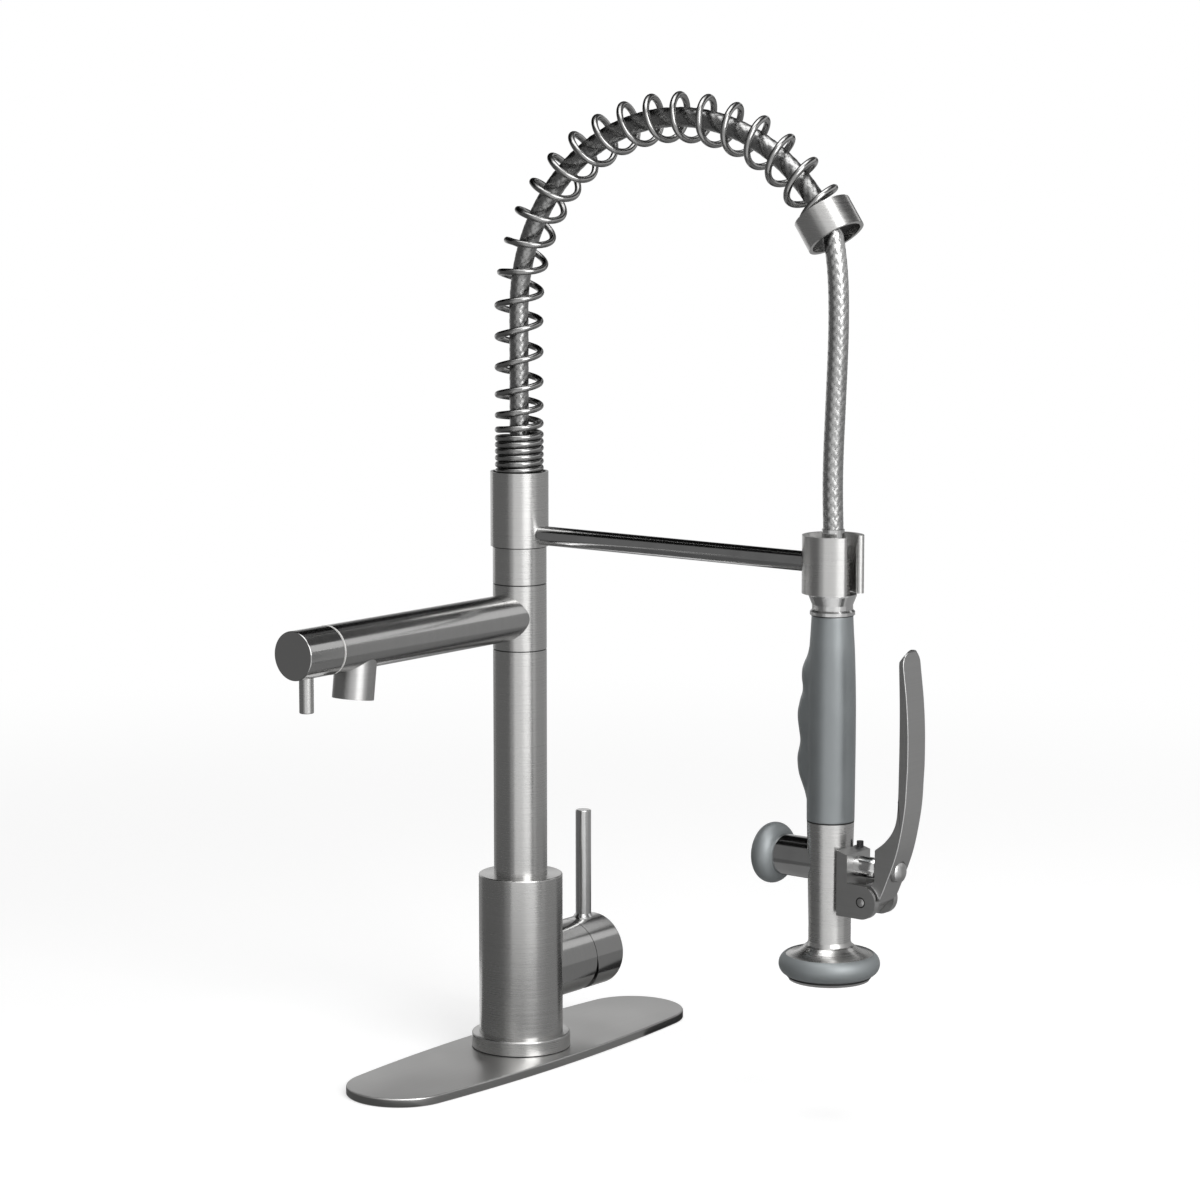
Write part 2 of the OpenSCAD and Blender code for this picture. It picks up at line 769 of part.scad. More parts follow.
// Handle cap: its inner side is hollow and cut back below the axis.
module handle_cap() {
    color("silver") translate([0, 0, boss_z]) difference() {
        along_x(cap_x0) soft_disc(boss_r, cap_l, cap_edge);
        along_x(cap_x0) hole(boss_r - cap_wall, cap_hollow);
        translate([0, boss_r + over, 0]) rotate([90, 0, 0])
            linear_extrude(2 * (boss_r + over)) polygon([
                [cap_x0 - over, relief_lead], [cap_x0, relief_lead],
                [cap_x0 + cap_relief * (2 * relief_lead + boss_r) / (boss_r + relief_lead),
                    -boss_r - relief_lead],
                [cap_x0 - over, -boss_r - relief_lead]]);
        translate([cap_x0, -stem_half, -stem_half])
            cube([cap_hollow + stem_grip, 2 * stem_half, 2 * stem_half]);
        translate([rod_x, 0, boss_r - rod_depth]) cylinder(r = rod_r, h = boss_r);
        translate([screw_x, 0, -boss_r]) hole(screw_r, boss_r - stem_half);
    }
}

// Handle rod with a small flared foot on the cap.
module handle_rod() {
    color("silver") difference() {
        translate([rod_x, 0, boss_z + boss_r]) {
            translate([0, 0, -rod_foot_h]) cylinder(r = rod_foot_r, h = rod_foot_h);
            cylinder(r1 = rod_foot_r, r2 = rod_r, h = rod_foot_h);
        }
        translate([0, 0, boss_z]) along_x(0) cylinder(r = boss_r, h = cap_x1);
    }
    color("silver") translate([rod_x, 0, boss_z + boss_r - rod_depth]) {
        cylinder(r = rod_r, h = rod_depth);
        soft_bar(rod_r, rod_up - boss_r + rod_depth, rod_edge);
    }
}

module cap_screw() {
    color("dimgray") translate([screw_x, 0, boss_z - stem_half - screw_l]) difference() {
        cylinder(r = screw_r, h = screw_l);
        translate([0, 0, -over]) cylinder(r = socket_r, h = screw_r + over, $fn = 6);
    }
}

// Spout tube and its sleeve round the column.
module spout_tube() {
    color("silver") difference() {
        union() {
            translate([0, 0, sleeve_z0]) cylinder(r = column_r, h = sleeve_h);
            translate([0, 0, spout_z]) along_x(-spout_l) cylinder(r = spout_r, h = spout_l);
        }
        translate([0, 0, sleeve_z0]) hole(stem_r + running_fit, sleeve_h + over);
        translate([0, 0, spout_z - sleeve_groove_h / 2])
            cylinder(r = sleeve_groove_r, h = sleeve_groove_h);
        translate([0, 0, spout_z]) along_x(-spout_l) hole(spout_bore_r, spout_l);
        nozzle_place() cylinder(r = nozzle_throat_r, h = nozzle_drop);
    }
}

// Turns +Z to the nozzle's flow, from the spout's axis.
module nozzle_place() {
    translate([nozzle_x, 0, spout_z]) rotate([0, 180 + nozzle_lean, 0]) children();
}

module outlet_nozzle() {
    color("silver") difference() {
        nozzle_place() cylinder(r = nozzle_r, h = nozzle_drop);
        translate([0, 0, spout_z]) along_x(-spout_l) cylinder(r = spout_r, h = spout_l);
        nozzle_place() cylinder(r = nozzle_throat_r, h = nozzle_drop + over);
        nozzle_place() translate([0, 0, nozzle_drop - nozzle_seat])
            cylinder(r = nozzle_bore_r, h = nozzle_seat + over);
    }
}

module aerator() {
    z = nozzle_drop - nozzle_seat;
    color("dimgray") nozzle_place() difference() {
        translate([0, 0, z]) cylinder(r = nozzle_bore_r - running_fit, h = aerator_t);
        for (i = [0 : len(aerator_rows) - 1], j = [0 : aerator_rows[i] - 1])
            rotate([0, 0, 360 * j / aerator_rows[i]])
            translate([aerator_shares[i] * nozzle_bore_r, 0, z])
            hole(aerator_hole_r, aerator_t + over);
    }
}

// Quarter-turn valve in the spout: body with a window, and rotor.
module spout_valve() {
    color("goldenrod") translate([0, 0, spout_z]) difference() {
        along_x(valve_x0) cylinder(r = spout_bore_r, h = valve_l);
        along_x(valve_x0 + valve_end_t) cylinder(r = rotor_bore_r, h = valve_l);
        along_x(valve_x0) hole(spline_r + running_fit, valve_l);
        translate([nozzle_x, 0, -spout_bore_r]) hole(window_r, spout_bore_r);
    }
}

module knob_washer() {
    color("white") translate([0, 0, spout_z]) along_x(-spout_l - knob_washer_t)
        ring(spout_r - washer_t, spline_r + loose_fit, knob_washer_t);
}

module spout_knob() {
    color("silver") translate([0, 0, spout_z]) difference() {
        along_x(knob_x1) soft_bar(spout_r, knob_l, knob_edge);
        along_x(knob_x0 - spline_l) cylinder(r = spline_r, h = spline_l + over);
        translate([knob_pin_x, 0, -spout_r]) hole(pin_r, pin_depth);
    }
}

module knob_pin() {
    color("silver") translate([knob_pin_x, 0, spout_z - pin_drop])
        soft_bar(pin_r, pin_drop - spout_r + pin_depth, pin_edge);
}

module spout_rotor() {
    color("silver") translate([0, 0, spout_z]) difference() {
        union() {
            along_x(valve_x0 + valve_end_t + axial_play)
                cylinder(r = rotor_bore_r - running_fit, h = valve_l - valve_end_t - axial_play);
            along_x(knob_x0 - spline_l) cylinder(r = spline_r,
                h = valve_x0 + valve_end_t + over - knob_x0 + spline_l);
        }
        along_x(nozzle_x - window_r) cylinder(r = rotor_way_r, h = valve_l);
        translate([nozzle_x, 0, 0]) along_y(0) cylinder(r = rotor_window_r, h = spout_r);
    }
}

// Arm collar with its cup, and the anchor screwed into it.
module arm_collar() {
    color("silver") difference() {
        translate([0, 0, collar_z0]) cylinder(r = collar_r, h = collar_h);
        translate([0, 0, collar_z0]) hole(stem_r + running_fit, collar_h);
        translate([0, 0, collar_z0 + swivel_depth]) cylinder(r = thread_r, h = collar_h);
        translate([0, 0, seat_z]) cylinder(r = cup_r, h = collar_h);
        translate([0, 0, arm_z]) along_y(-collar_r - over) cylinder(r = arm_r, h = arm_root + over);
    }
}

module spring_anchor() {
    color("dimgray") difference() {
        union() {
            translate([0, 0, seat_z - anchor_t]) cylinder(r = thread_r, h = anchor_t);
            translate([0, 0, seat_z]) cylinder(r = anchor_r, h = anchor_up);
        }
        translate([0, 0, seat_z - anchor_t]) hole(anchor_bore_r, anchor_t + anchor_up);
        translate([0, 0, seat_z + anchor_up - anchor_socket])
            cylinder(r = hose_r + running_fit, h = anchor_up);
    }
}

module support_spring() {
    color("gainsboro") tube(coil_line, coil_line_rays, wire_d / 2, wire_sides,
        [0, 0, 1], [0, cap_dir[0], cap_dir[1]]);
}

// Hose held all the way by the spring.
hose_z0 = seat_z + anchor_up - anchor_socket;
hose_s0 = hose_z0 - path_z0;
hose_s1 = line_l + arc_l + cup_depth + web_t + grommet_t / 2;
hose_line = [for (i = [0 : hose_rings])
    let (p = path_point(hose_s0 + (hose_s1 - hose_s0) * i / hose_rings)) [0, p[0], p[1]]];
hose_end = hose_line[hose_rings];

module arch_hose() {
    color("gray") tube(hose_line, [for (p = hose_line) [1, 0, 0]], hose_r, hose_sides,
        [0, 0, 1], [0, cap_dir[0], cap_dir[1]]);
}

module arm_rod() {
    color("silver") translate([0, 0, arm_z]) along_y(-reach + dock_r - arm_tip)
        cylinder(r = arm_r, h = reach - dock_r + arm_tip - collar_r + arm_root);
}

// Dock ring: round jaws at its slot, a funnel on top.
module dock_ring() {
    color("silver") translate([0, -reach, dock_z0]) difference() {
        linear_extrude(dock_h) {
            difference() {
                circle(r = dock_r);
                circle(r = dock_bore_r);
                polygon([[0, 0], [2 * jaw_x, -2 * jaw_y], [0, -3 * jaw_y],
                    [-2 * jaw_x, -2 * jaw_y]]);
            }
            for (s = [-1, 1]) translate([s * jaw_x, -jaw_y]) circle(r = jaw_r);
        }
        translate([0, 0, dock_h - funnel_h]) cylinder(r1 = dock_bore_r,
            r2 = funnel_r + (funnel_r - dock_bore_r) * over / funnel_h, h = funnel_h + over);
        translate([0, dock_r + over, dock_h / 2]) rotate([90, 0, 0])
            cylinder(r = arm_r, h = arm_tip + over);
    }
}

// Turns +Z to the path's direction at the spring cap.
module cap_place() {
    translate([0, cap_at[0], cap_at[1]]) rotate([180 - cap_lean, 0, 0]) children();
}

module spring_cap() {
    color("silver") cap_place() difference() {
        cylinder(r = cap_r, h = cap_len);
        hole(cap_cup_r, cup_depth);
        hole(cap_hose_r, cap_len + over);
        translate([0, 0, cup_depth + web_t]) cylinder(r = cap_mouth_r, h = cap_len);
    }
}

module cap_grommet() {
    color("black") cap_place() translate([0, 0, cup_depth + web_t])
        ring(grommet_r, cap_hose_r, grommet_t);
}

// Free stretch of the hose.
drop_line = concat([hose_end], [for (p = drop_route) [0, p[0], p[1]]]);

module drop_hose() {
    color("gray") tube(drop_line, [for (p = drop_line) [1, 0, 0]], hose_r, drop_sides,
        [0, cap_dir[0], cap_dir[1]], [0, 0, -1]);
}

module hose_ferrule() {
    color("silver") translate([0, -reach, neck_top + hose_nut_h])
        ring(ferrule_r, tube_bore_r - running_fit, ferrule_h);
}

module hose_nut() {
    color("silver") translate([0, -reach, neck_top]) difference() {
        cylinder(r = hose_nut_r, h = hose_nut_h, $fn = 6);
        hole(tube_bore_r, hose_nut_h + over);
    }
}

module neck_collar() {
    color("dimgray") translate([0, -reach, neck_z0]) difference() {
        rotate_extrude() polygon([[0, 0], [neck_foot_r, 0], [neck_foot_r, neck_foot_h],
            [neck_waist_r, neck_foot_h + neck_slope_h], [neck_waist_r, neck_waist_h],
            [neck_r, neck_h - neck_lip], [neck_r, neck_h], [0, neck_h]]);
        hole(tube_bore_r, neck_h + over);
        hole(tube_r, tube_in_neck);
    }
}

// Grip: a barrel, and lobes for the fingers on the side away from the lever,
// turned about an axis of their own.
module grip() {
    color("slategray") translate([0, -reach, grip_z0]) difference() {
        union() {
            rotate_extrude() polygon(concat([[0, 0]],
                [for (p = barrel_shares) [p[1] * grip_r, p[0] * grip_l]], [[0, grip_l]]));
            translate([0, lobe_out]) rotate_extrude() polygon(concat(
                [[0, lobe_shares[0][0] * grip_l]],
                [for (p = lobe_shares) [p[1] * grip_r - lobe_out, p[0] * grip_l]],
                [[0, lobe_shares[len(lobe_shares) - 1][0] * grip_l]]));
        }
        hole(tube_r + running_fit, grip_l + over);
    }
}

module handle_tube() {
    color("dimgray") translate([0, -reach, grip_z0 - tube_in_head])
        ring(tube_r, tube_bore_r, tube_in_head + grip_l + tube_in_neck);
}

// Outside of the metal body and its bell.
module head_shape() {
    translate([0, -reach, 0]) rotate_extrude() polygon(concat(
        [[0, face_z1], [core_r, face_z1], [core_r, bell_z - rim_t],
            [bell_r, bell_z - rim_t], [bell_r, bell_z]],
        [for (p = dish_shares)
            [bell_r - p[0] * (bell_r - flare_r), bell_z + p[1] * flare_h]],
        [[flare_r, bell_z + flare_h],
            [flare_r - flare_step, bell_z + flare_h + flare_step / 2], [waist_r, flare_z],
            [waist_r, waist_z], [head_r, grip_z0], [0, grip_z0]]));
}

module sprayer_body() {
    color("silver") difference() {
        head_shape();
        translate([0, -reach, 0]) {
            translate([0, 0, grip_z0 - tube_in_head]) cylinder(r = tube_r, h = tube_in_head + over);
            translate([0, 0, face_z1]) hole(core_bore_r, core_bore_h);
            translate([0, 0, face_z1]) cylinder(r = head_port_r, h = grip_z0 - face_z1);
            translate([0, 0, valve_z]) along_y(-chamber_front)
                cylinder(r = chamber_head_r, h = chamber_front + head_r + over);
            translate([0, 0, valve_z]) along_y(-head_r - over)
                cylinder(r = front_bore_r, h = head_r + over);
        }
    }
}

// Rubber round the bell's rim.
module spray_bumper() {
    color("slategray") translate([0, -reach, 0]) difference() {
        translate([0, 0, bumper_z]) round_ring(bumper_at, bumper_r);
        translate([0, 0, bell_z - rim_t]) cylinder(r = bell_r, h = bumper_r);
    }
}

module spray_face() {
    color("dimgray") translate([0, -reach, face_z0]) difference() {
        union() {
            cylinder(r1 = face_r - face_edge, r2 = face_r, h = face_t);
            ring(core_bore_r - running_fit, core_bore_r - face_ring_t, face_t + face_ring_h);
        }
        for (i = [0 : len(jet_counts) - 1], j = [0 : jet_counts[i] - 1])
            rotate([0, 0, 360 * j / jet_counts[i]])
            translate([jet_shares[i] * face_r, 0, 0]) hole(jet_r, face_t + over);
    }
}

// Valve cap behind the body, with a rubber end.
module valve_cap() {
    color("dimgray") difference() {
        translate([0, -reach, valve_z]) along_y(0) cylinder(r = valve_cap_r, h = valve_cap_end);
        translate([0, -reach, valve_z]) along_y(-over)
            cylinder(r = chamber_head_r, h = cap_bore_end + over);
        head_shape();
    }
}

module side_bumper() {
    color("slategray") translate([0, -reach, valve_z]) difference() {
        along_y(side_reach) round_ring(side_bumper_at, side_bumper_r);
        along_y(0) cylinder(r = valve_cap_r, h = valve_cap_end);
    }
}

// Bracket: block with sloping top and two cheeks.
module lever_bracket() {
    color("dimgray") difference() {
        translate([0, -reach, 0]) {
            translate([-block_half, 0, 0]) rotate([90, 0, 90]) linear_extrude(2 * block_half)
                polygon([[-block_back, pivot_z - cheek_r], [-block_front, pivot_z - cheek_r],
                    [-block_front, valve_z + block_up - block_fall],
                    [-block_back, valve_z + block_up]]);
            for (x = [-block_half, cheek_in]) translate([x, 0, 0]) rotate([90, 0, 90])
                linear_extrude(cheek_t) {
                    translate([-pivot_out, pivot_z]) circle(r = cheek_r);
                    translate([-pivot_out, pivot_z - cheek_r])
                        square([pivot_out - block_front, 2 * cheek_r]);
                }
        }
        head_shape();
        translate([0, -reach, valve_z]) along_y(-pivot_out - cheek_r)
            cylinder(r = front_bore_r, h = pivot_out + cheek_r);
        translate([0, -reach - pivot_out, pivot_z]) along_x(-block_half)
            hole(pivot_r, 2 * block_half + over);
        translate([stud_x, -reach - stud_out, stud_z1 - stud_l]) cylinder(r = stud_r, h = 2 * stud_l);
    }
}

module pivot_pin() {
    color("silver") translate([0, -reach - pivot_out, pivot_z]) along_x(-block_half)
        cylinder(r = pivot_r, h = 2 * block_half);
}

module bracket_stud() {
    color("black") translate([stud_x, -reach - stud_out, stud_z1 - stud_l])
        cylinder(r = stud_r, h = stud_l);
}

// Return spring of the side valve, a coil between spool and cap.
return_l = cap_bore_end - spool_back - 2 * return_wire_r;
return_rings = return_turns * rings_per_turn;
return_rays = [for (i = [0 : return_rings])
    let (q = 360 * i / rings_per_turn) [sin(q), 0, cos(q)]];
return_line = [for (i = [0 : return_rings])
    return_mid_r * return_rays[i] + [0, return_l * i / return_rings, 0]];

module valve_spring() {
    n = return_rings;
    color("gainsboro") translate([0, -reach + spool_back + return_wire_r, valve_z])
        tube(return_line, return_rays, return_wire_r, wire_sides,
            unit(return_line[1] - return_line[0]), unit(return_line[n] - return_line[n - 1]));
}

// Trigger lever: side outline through a front outline with a round top.
module lever_side() {
    translate([-reach - pivot_out, pivot_z]) {
        circle(r = lever_hub_r);
        polygon([for (p = lever_shares) [-p[0] * blade_up, p[1] * blade_up]]);
    }
}

module trigger_lever() {
    color("silver") difference() {
        intersection() {
            translate([-blade_w / 2, 0, 0]) rotate([90, 0, 90])
                linear_extrude(blade_w) lever_side();
            translate([0, -reach, pivot_z]) rotate([90, 0, 0])
                linear_extrude(pivot_out + blade_up) {
                    translate([0, blade_up - blade_w / 2]) circle(r = blade_w / 2);
                    translate([-blade_w / 2, -lever_hub_r])
                        square([blade_w, blade_up + lever_hub_r - blade_w / 2]);
                }
        }
        for (x = [-blade_w, lever_hub_half]) translate([0, -reach - pivot_out, pivot_z])
            along_x(x) cylinder(r = cheek_r + cheek_clear, h = blade_w - lever_hub_half);
        translate([0, -reach - pivot_out, pivot_z]) along_x(-blade_w)
            cylinder(r = pivot_r + running_fit, h = 2 * blade_w);
        translate([0, -reach, valve_z]) along_y(-pivot_out - blade_up)
            cylinder(r = lever_screw_r, h = pivot_out + blade_up - lever_seat);
        translate([0, -reach, valve_z]) along_y(-lever_seat - over)
            cylinder(r = lever_shank_r, h = lever_shank_l + over);
    }
}

// Domed screw on the lever's outer face.
module lever_screw() {
    r = (lever_screw_r * lever_screw_r + lever_dome * lever_dome) / (2 * lever_dome);
    color("silver") translate([0, -reach, valve_z]) {
        along_y(-lever_seat - lever_screw_l) cylinder(r = lever_screw_r, h = lever_screw_l);
        along_y(-lever_seat - over) cylinder(r = lever_shank_r, h = lever_shank_l + over);
        intersection() {
            translate([0, -lever_seat - lever_screw_l - lever_dome + r, 0]) sphere(r = r);
            along_y(-lever_seat - lever_screw_l - lever_dome - over)
                cylinder(r = lever_screw_r, h = lever_dome + 2 * over);
        }
    }
}

// Spool and stem in one piece; its round end faces the lever.
module plunger() {
    tip = blade_in - plunger_gap;
    color("silver") translate([0, -reach, valve_z]) difference() {
        union() {
            along_y(-spool_front) cylinder(r = spool_r, h = land_t);
            along_y(-spool_front) cylinder(r = spool_waist_r, h = spool_front);
            along_y(-waist_back) cylinder(r = spool_r, h = waist_back + spool_back);
            along_y(plunger_r - tip) cylinder(r = plunger_r, h = tip - plunger_r - spool_front);
            translate([0, plunger_r - tip, 0]) sphere(r = plunger_r);
        }
        along_y(spool_groove_at - spool_ring_r)
            ring(spool_r + over, spool_groove_r, 2 * spool_ring_r);
    }
}

module plunger_rings() {
    color("black") translate([0, -reach, valve_z]) along_y(spool_groove_at)
        round_ring(spool_groove_r + spool_ring_r, spool_ring_r);
}

echo(coil_gap = coil_gap, open_pitch = open_pitch, hose_end = hose_end);
deck_plate();
deck_liner();
base_seal();
base_ring();
valve_body();
cartridge_housing();
cartridge_nut();
riser_tube();
riser_stem();
swivel_washers();
stem_rings();
riser_spacer();
stem_nut();
cartridge_rotor();
stem_pin();
lever_stem();
handle_cap();
handle_rod();
cap_screw();
spout_tube();
outlet_nozzle();
aerator();
spout_valve();
knob_washer();
spout_knob();
knob_pin();
spout_rotor();
arm_collar();
spring_anchor();
support_spring();
arch_hose();
arm_rod();
dock_ring();
spring_cap();
cap_grommet();
drop_hose();
hose_ferrule();
hose_nut();
neck_collar();
grip();
handle_tube();
sprayer_body();
spray_bumper();
spray_face();
valve_cap();
side_bumper();
lever_bracket();
pivot_pin();
bracket_stud();
valve_spring();
trigger_lever();
lever_screw();
plunger();
plunger_rings();
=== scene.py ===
"""Spring kitchen faucet: finishes, hoses, spring, grip, lever, plate and a small photo studio."""

import math

import bmesh
import bpy
from bpy.props import FloatProperty, FloatVectorProperty, IntProperty, PointerProperty
from mathutils import Matrix, Vector


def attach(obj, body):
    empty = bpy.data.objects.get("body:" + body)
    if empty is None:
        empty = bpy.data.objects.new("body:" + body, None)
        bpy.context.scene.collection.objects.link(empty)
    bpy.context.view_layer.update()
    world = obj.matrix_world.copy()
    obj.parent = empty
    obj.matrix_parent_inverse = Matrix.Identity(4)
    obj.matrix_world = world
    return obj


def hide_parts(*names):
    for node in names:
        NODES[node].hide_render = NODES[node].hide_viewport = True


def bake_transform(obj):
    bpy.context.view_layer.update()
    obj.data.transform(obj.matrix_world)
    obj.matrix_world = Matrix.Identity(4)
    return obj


bl_info = {
    "name": "Spring kitchen faucet",
    "version": (1, 0, 0),
    "blender": (4, 5, 0),
    "location": "View3D > Sidebar > Faucet",
    "description": ("Finishes, hoses, spring, grip, lever and deck plate "
                    "of a spring kitchen faucet"),
    "category": "Object",
}

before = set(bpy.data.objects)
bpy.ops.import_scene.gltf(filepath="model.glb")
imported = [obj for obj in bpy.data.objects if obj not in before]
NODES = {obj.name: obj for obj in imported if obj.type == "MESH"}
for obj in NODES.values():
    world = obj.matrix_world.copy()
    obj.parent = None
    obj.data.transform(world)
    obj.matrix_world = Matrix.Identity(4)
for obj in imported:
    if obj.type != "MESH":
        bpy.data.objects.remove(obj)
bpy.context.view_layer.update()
MM = 0.001
REACH = 0.1982  # from the column's line to the sprayer's
PIVOT = -0.2232, 0.1154  # y and z of the trigger's pin
VALVE_Z = 0.1311  # height of the side valve's line


# ---------------------------------------------------------------- sizes and colours

def colour(name, default, description):
    return FloatVectorProperty(name=name, description=description, default=default,
                               subtype="COLOR", size=3, min=0, max=1)


def length(name, default, description):
    return FloatProperty(name=name, description=description, default=default, min=0,
                         unit="LENGTH", subtype="DISTANCE", precision=5)


class FaucetFinishes(bpy.types.PropertyGroup):
    """Colours of the faucet's finishes."""
    nickel: colour("Brushed nickel", (0.5, 0.497, 0.49), "Column, base, cap and ring")
    spout: colour("Satin nickel", (0.42, 0.418, 0.414), "Spout tube, knob, boss and handle")
    forged: colour("Forged steel", (0.46, 0.459, 0.456), "Trigger lever and its bracket")
    chrome: colour("Polished steel", (0.55, 0.55, 0.547), "Bright polished pieces")
    black_chrome: colour("Black chrome", (0.5, 0.5, 0.5), "Arm rod, neck and side valve")
    wire: colour("Spring wire", (0.29, 0.289, 0.286), "Support spring")
    braid: colour("Hose braid", (0.34, 0.34, 0.337), "Wires of the braided hose")
    rubber: colour("Grey rubber", (0.24, 0.258, 0.265), "Grip and bumpers")
    brass: colour("Brass", (0.65, 0.45, 0.2), "Inner water parts")


class FaucetSizes(bpy.types.PropertyGroup):
    """Sizes of the pieces that the scene makes itself."""
    wire: length("Spring wire", 3.4 * MM, "Thickness of the support spring's wire")
    coil: length("Coil radius", 11.1 * MM, "Middle radius of the support spring")
    hose: length("Hose", 9.9 * MM, "Diameter of the braided hose")
    braid_pitch: length("Braid pitch", 4.9 * MM, "Length of one diamond of the braid")
    braid_strands: IntProperty(name="Strands", description="Strands of the braid each way",
                               default=8, min=4, max=24)
    lever_width: length("Lever width", 15.3 * MM, "Width of the trigger lever")
    lever_edge: length("Lever edge", 0.45 * MM, "Rounding of the lever's edges")
    plate_edge: length("Plate edge", 0.8 * MM, "Rounding of the deck plate's upper edge")


class FaucetStudio(bpy.types.PropertyGroup):
    """Camera and light of the studio."""
    lens: FloatProperty(name="Lens", description="Focal length", default=107.14,
                        unit="CAMERA", min=10, max=300)
    key: FloatProperty(name="Key light", description="Power of the key light", default=24,
                       unit="POWER", min=0)
    top: FloatProperty(name="Top light", description="Power of the overhead light", default=8,
                       unit="POWER", min=0)
    sky: FloatProperty(name="Room light", description="Strength of the even light", default=0.28,
                       min=0, max=1)


def finishes():
    return bpy.context.scene.faucet_finishes


def sizes():
    return bpy.context.scene.faucet_sizes


def studio():
    return bpy.context.scene.faucet_studio


# ---------------------------------------------------------------- materials

class Graph:
    """Nodes of a material or a world. A tuple of a node and its output stands for what comes
    out there; numbers and lists are set as they are."""
    MIX = {"FLOAT": (2, 0), "VECTOR": (4, 1), "RGBA": (6, 2)}  # first input, output

    def __init__(self, owner, output="ShaderNodeOutputMaterial"):
        owner.use_nodes = True
        self.tree = owner.node_tree
        self.tree.nodes.clear()
        self.out = self.add(output)

    def add(self, kind, **settings):
        node = self.tree.nodes.new(kind)
        for key, value in settings.items():
            setattr(node, key, value)
        return node

    def join(self, a, out, b, into):
        self.tree.links.new(a.outputs[out], b.inputs[into])

    def feed(self, node, first, *values):
        """Links or sets the node's inputs, from the first of them on."""
        for i, value in enumerate(values, first):
            if isinstance(value, tuple):
                self.join(*value, node, i)
            else:
                node.inputs[i].default_value = value

    def math(self, do, *values):
        node = self.add("ShaderNodeMath", operation=do)
        self.feed(node, 0, *values)
        return node, "Value"

    def vector(self, do, *values):
        node = self.add("ShaderNodeVectorMath", operation=do)
        self.feed(node, 0, *values)
        return node, "Value" if do == "LENGTH" else "Vector"

    def mix(self, kind, share, a, b):
        """What is a where the share is 0 and b where it is 1."""
        node = self.add("ShaderNodeMix", data_type=kind)
        first, result = self.MIX[kind]
        self.join(*share, node, "Factor")
        self.feed(node, first, a, b)
        return node, result

    def between(self, source, low, high, start=0.3, stop=0.7):
        """A number that runs from low to high as the source runs from start to stop."""
        node = self.add("ShaderNodeMapRange")
        self.feed(node, 0, source, start, stop, low, high)
        return node, "Result"

    def seen(self):
        """1 where the camera, a mirror or glass looks, 0 for spread light."""
        path = self.add("ShaderNodeLightPath")
        most = path, "Is Camera Ray"
        for ray in ("Is Glossy Ray", "Is Transmission Ray"):
            most = self.math("MAXIMUM", most, (path, ray))
        return most


class Finish(Graph):
    """A material with its surface shader ready."""

    def __init__(self, name, base, metal=1.0, rough=0.3, **sockets):
        self.material = bpy.data.materials.new(name)
        super().__init__(self.material)
        self.material.diffuse_color = (*base, 1)
        self.base = base
        self.skin = self.add("ShaderNodeBsdfPrincipled")
        self.join(self.skin, "BSDF", self.out, "Surface")
        sockets.update(Base_Color=(*base, 1), Metallic=metal, Roughness=rough)
        for socket, value in sockets.items():
            self.skin.inputs[socket.replace("_", " ")].default_value = value
        self.place = self.add("ShaderNodeTexCoord")

    def noise(self, stretch, detail=2.0, rough=0.5, coords="Object"):
        """Noise whose grain is stretched along an axis: stretch is its grain per metre."""
        mapping = self.add("ShaderNodeMapping")
        mapping.inputs["Scale"].default_value = stretch
        self.join(self.place, coords, mapping, "Vector")
        noise = self.add("ShaderNodeTexNoise")
        for socket, value in (("Scale", 1), ("Detail", detail), ("Roughness", rough)):
            noise.inputs[socket].default_value = value
        self.join(mapping, "Vector", noise, "Vector")
        return noise, "Fac"

    def tint(self, source, low, high):
        """Two shades of the base colour, low and high as shares of it."""
        shade = self.mix("RGBA", source, [c * low for c in self.base] + [1],
                         [min(1, c * high) for c in self.base] + [1])
        self.join(*shade, self.skin, "Base Color")
        return shade

    def rough(self, source):
        self.join(*source, self.skin, "Roughness")

    def bump(self, source, strength, depth):
        node = self.add("ShaderNodeBump")
        node.inputs["Strength"].default_value = strength
        node.inputs["Distance"].default_value = depth
        self.join(*source, node, "Height")
        self.join(node, "Normal", self.skin, "Normal")


ALONG = {"x": [1, 0, 0], "y": [0, 1, 0], "z": [0, 0, 1]}
COARSE, FINE, ACROSS = 1300, 5200, 6  # brush lines per metre, and their breaks


def grain(f, axis, count):
    """Fine lines that run round an axis: many per metre along it, few across."""
    return f.noise([count if a else ACROSS for a in ALONG[axis]], detail=3, rough=0.6)


def lay(f, axis):
    """Direction of brush lines that run round an axis, wherever that axis stands. A little of
    the second way to find it serves flat ends, where the first gives nothing."""
    by_side = f.vector("CROSS_PRODUCT", (f.place, "Normal"), ALONG[axis])
    by_place = f.vector("CROSS_PRODUCT", (f.place, "Object"), ALONG[axis])
    both = f.vector("MULTIPLY_ADD", by_place, [0.02] * 3, by_side)
    world = f.add("ShaderNodeVectorTransform", vector_type="VECTOR", convert_from="OBJECT",
                  convert_to="WORLD")
    f.join(*both, world, "Vector")
    return world, "Vector"


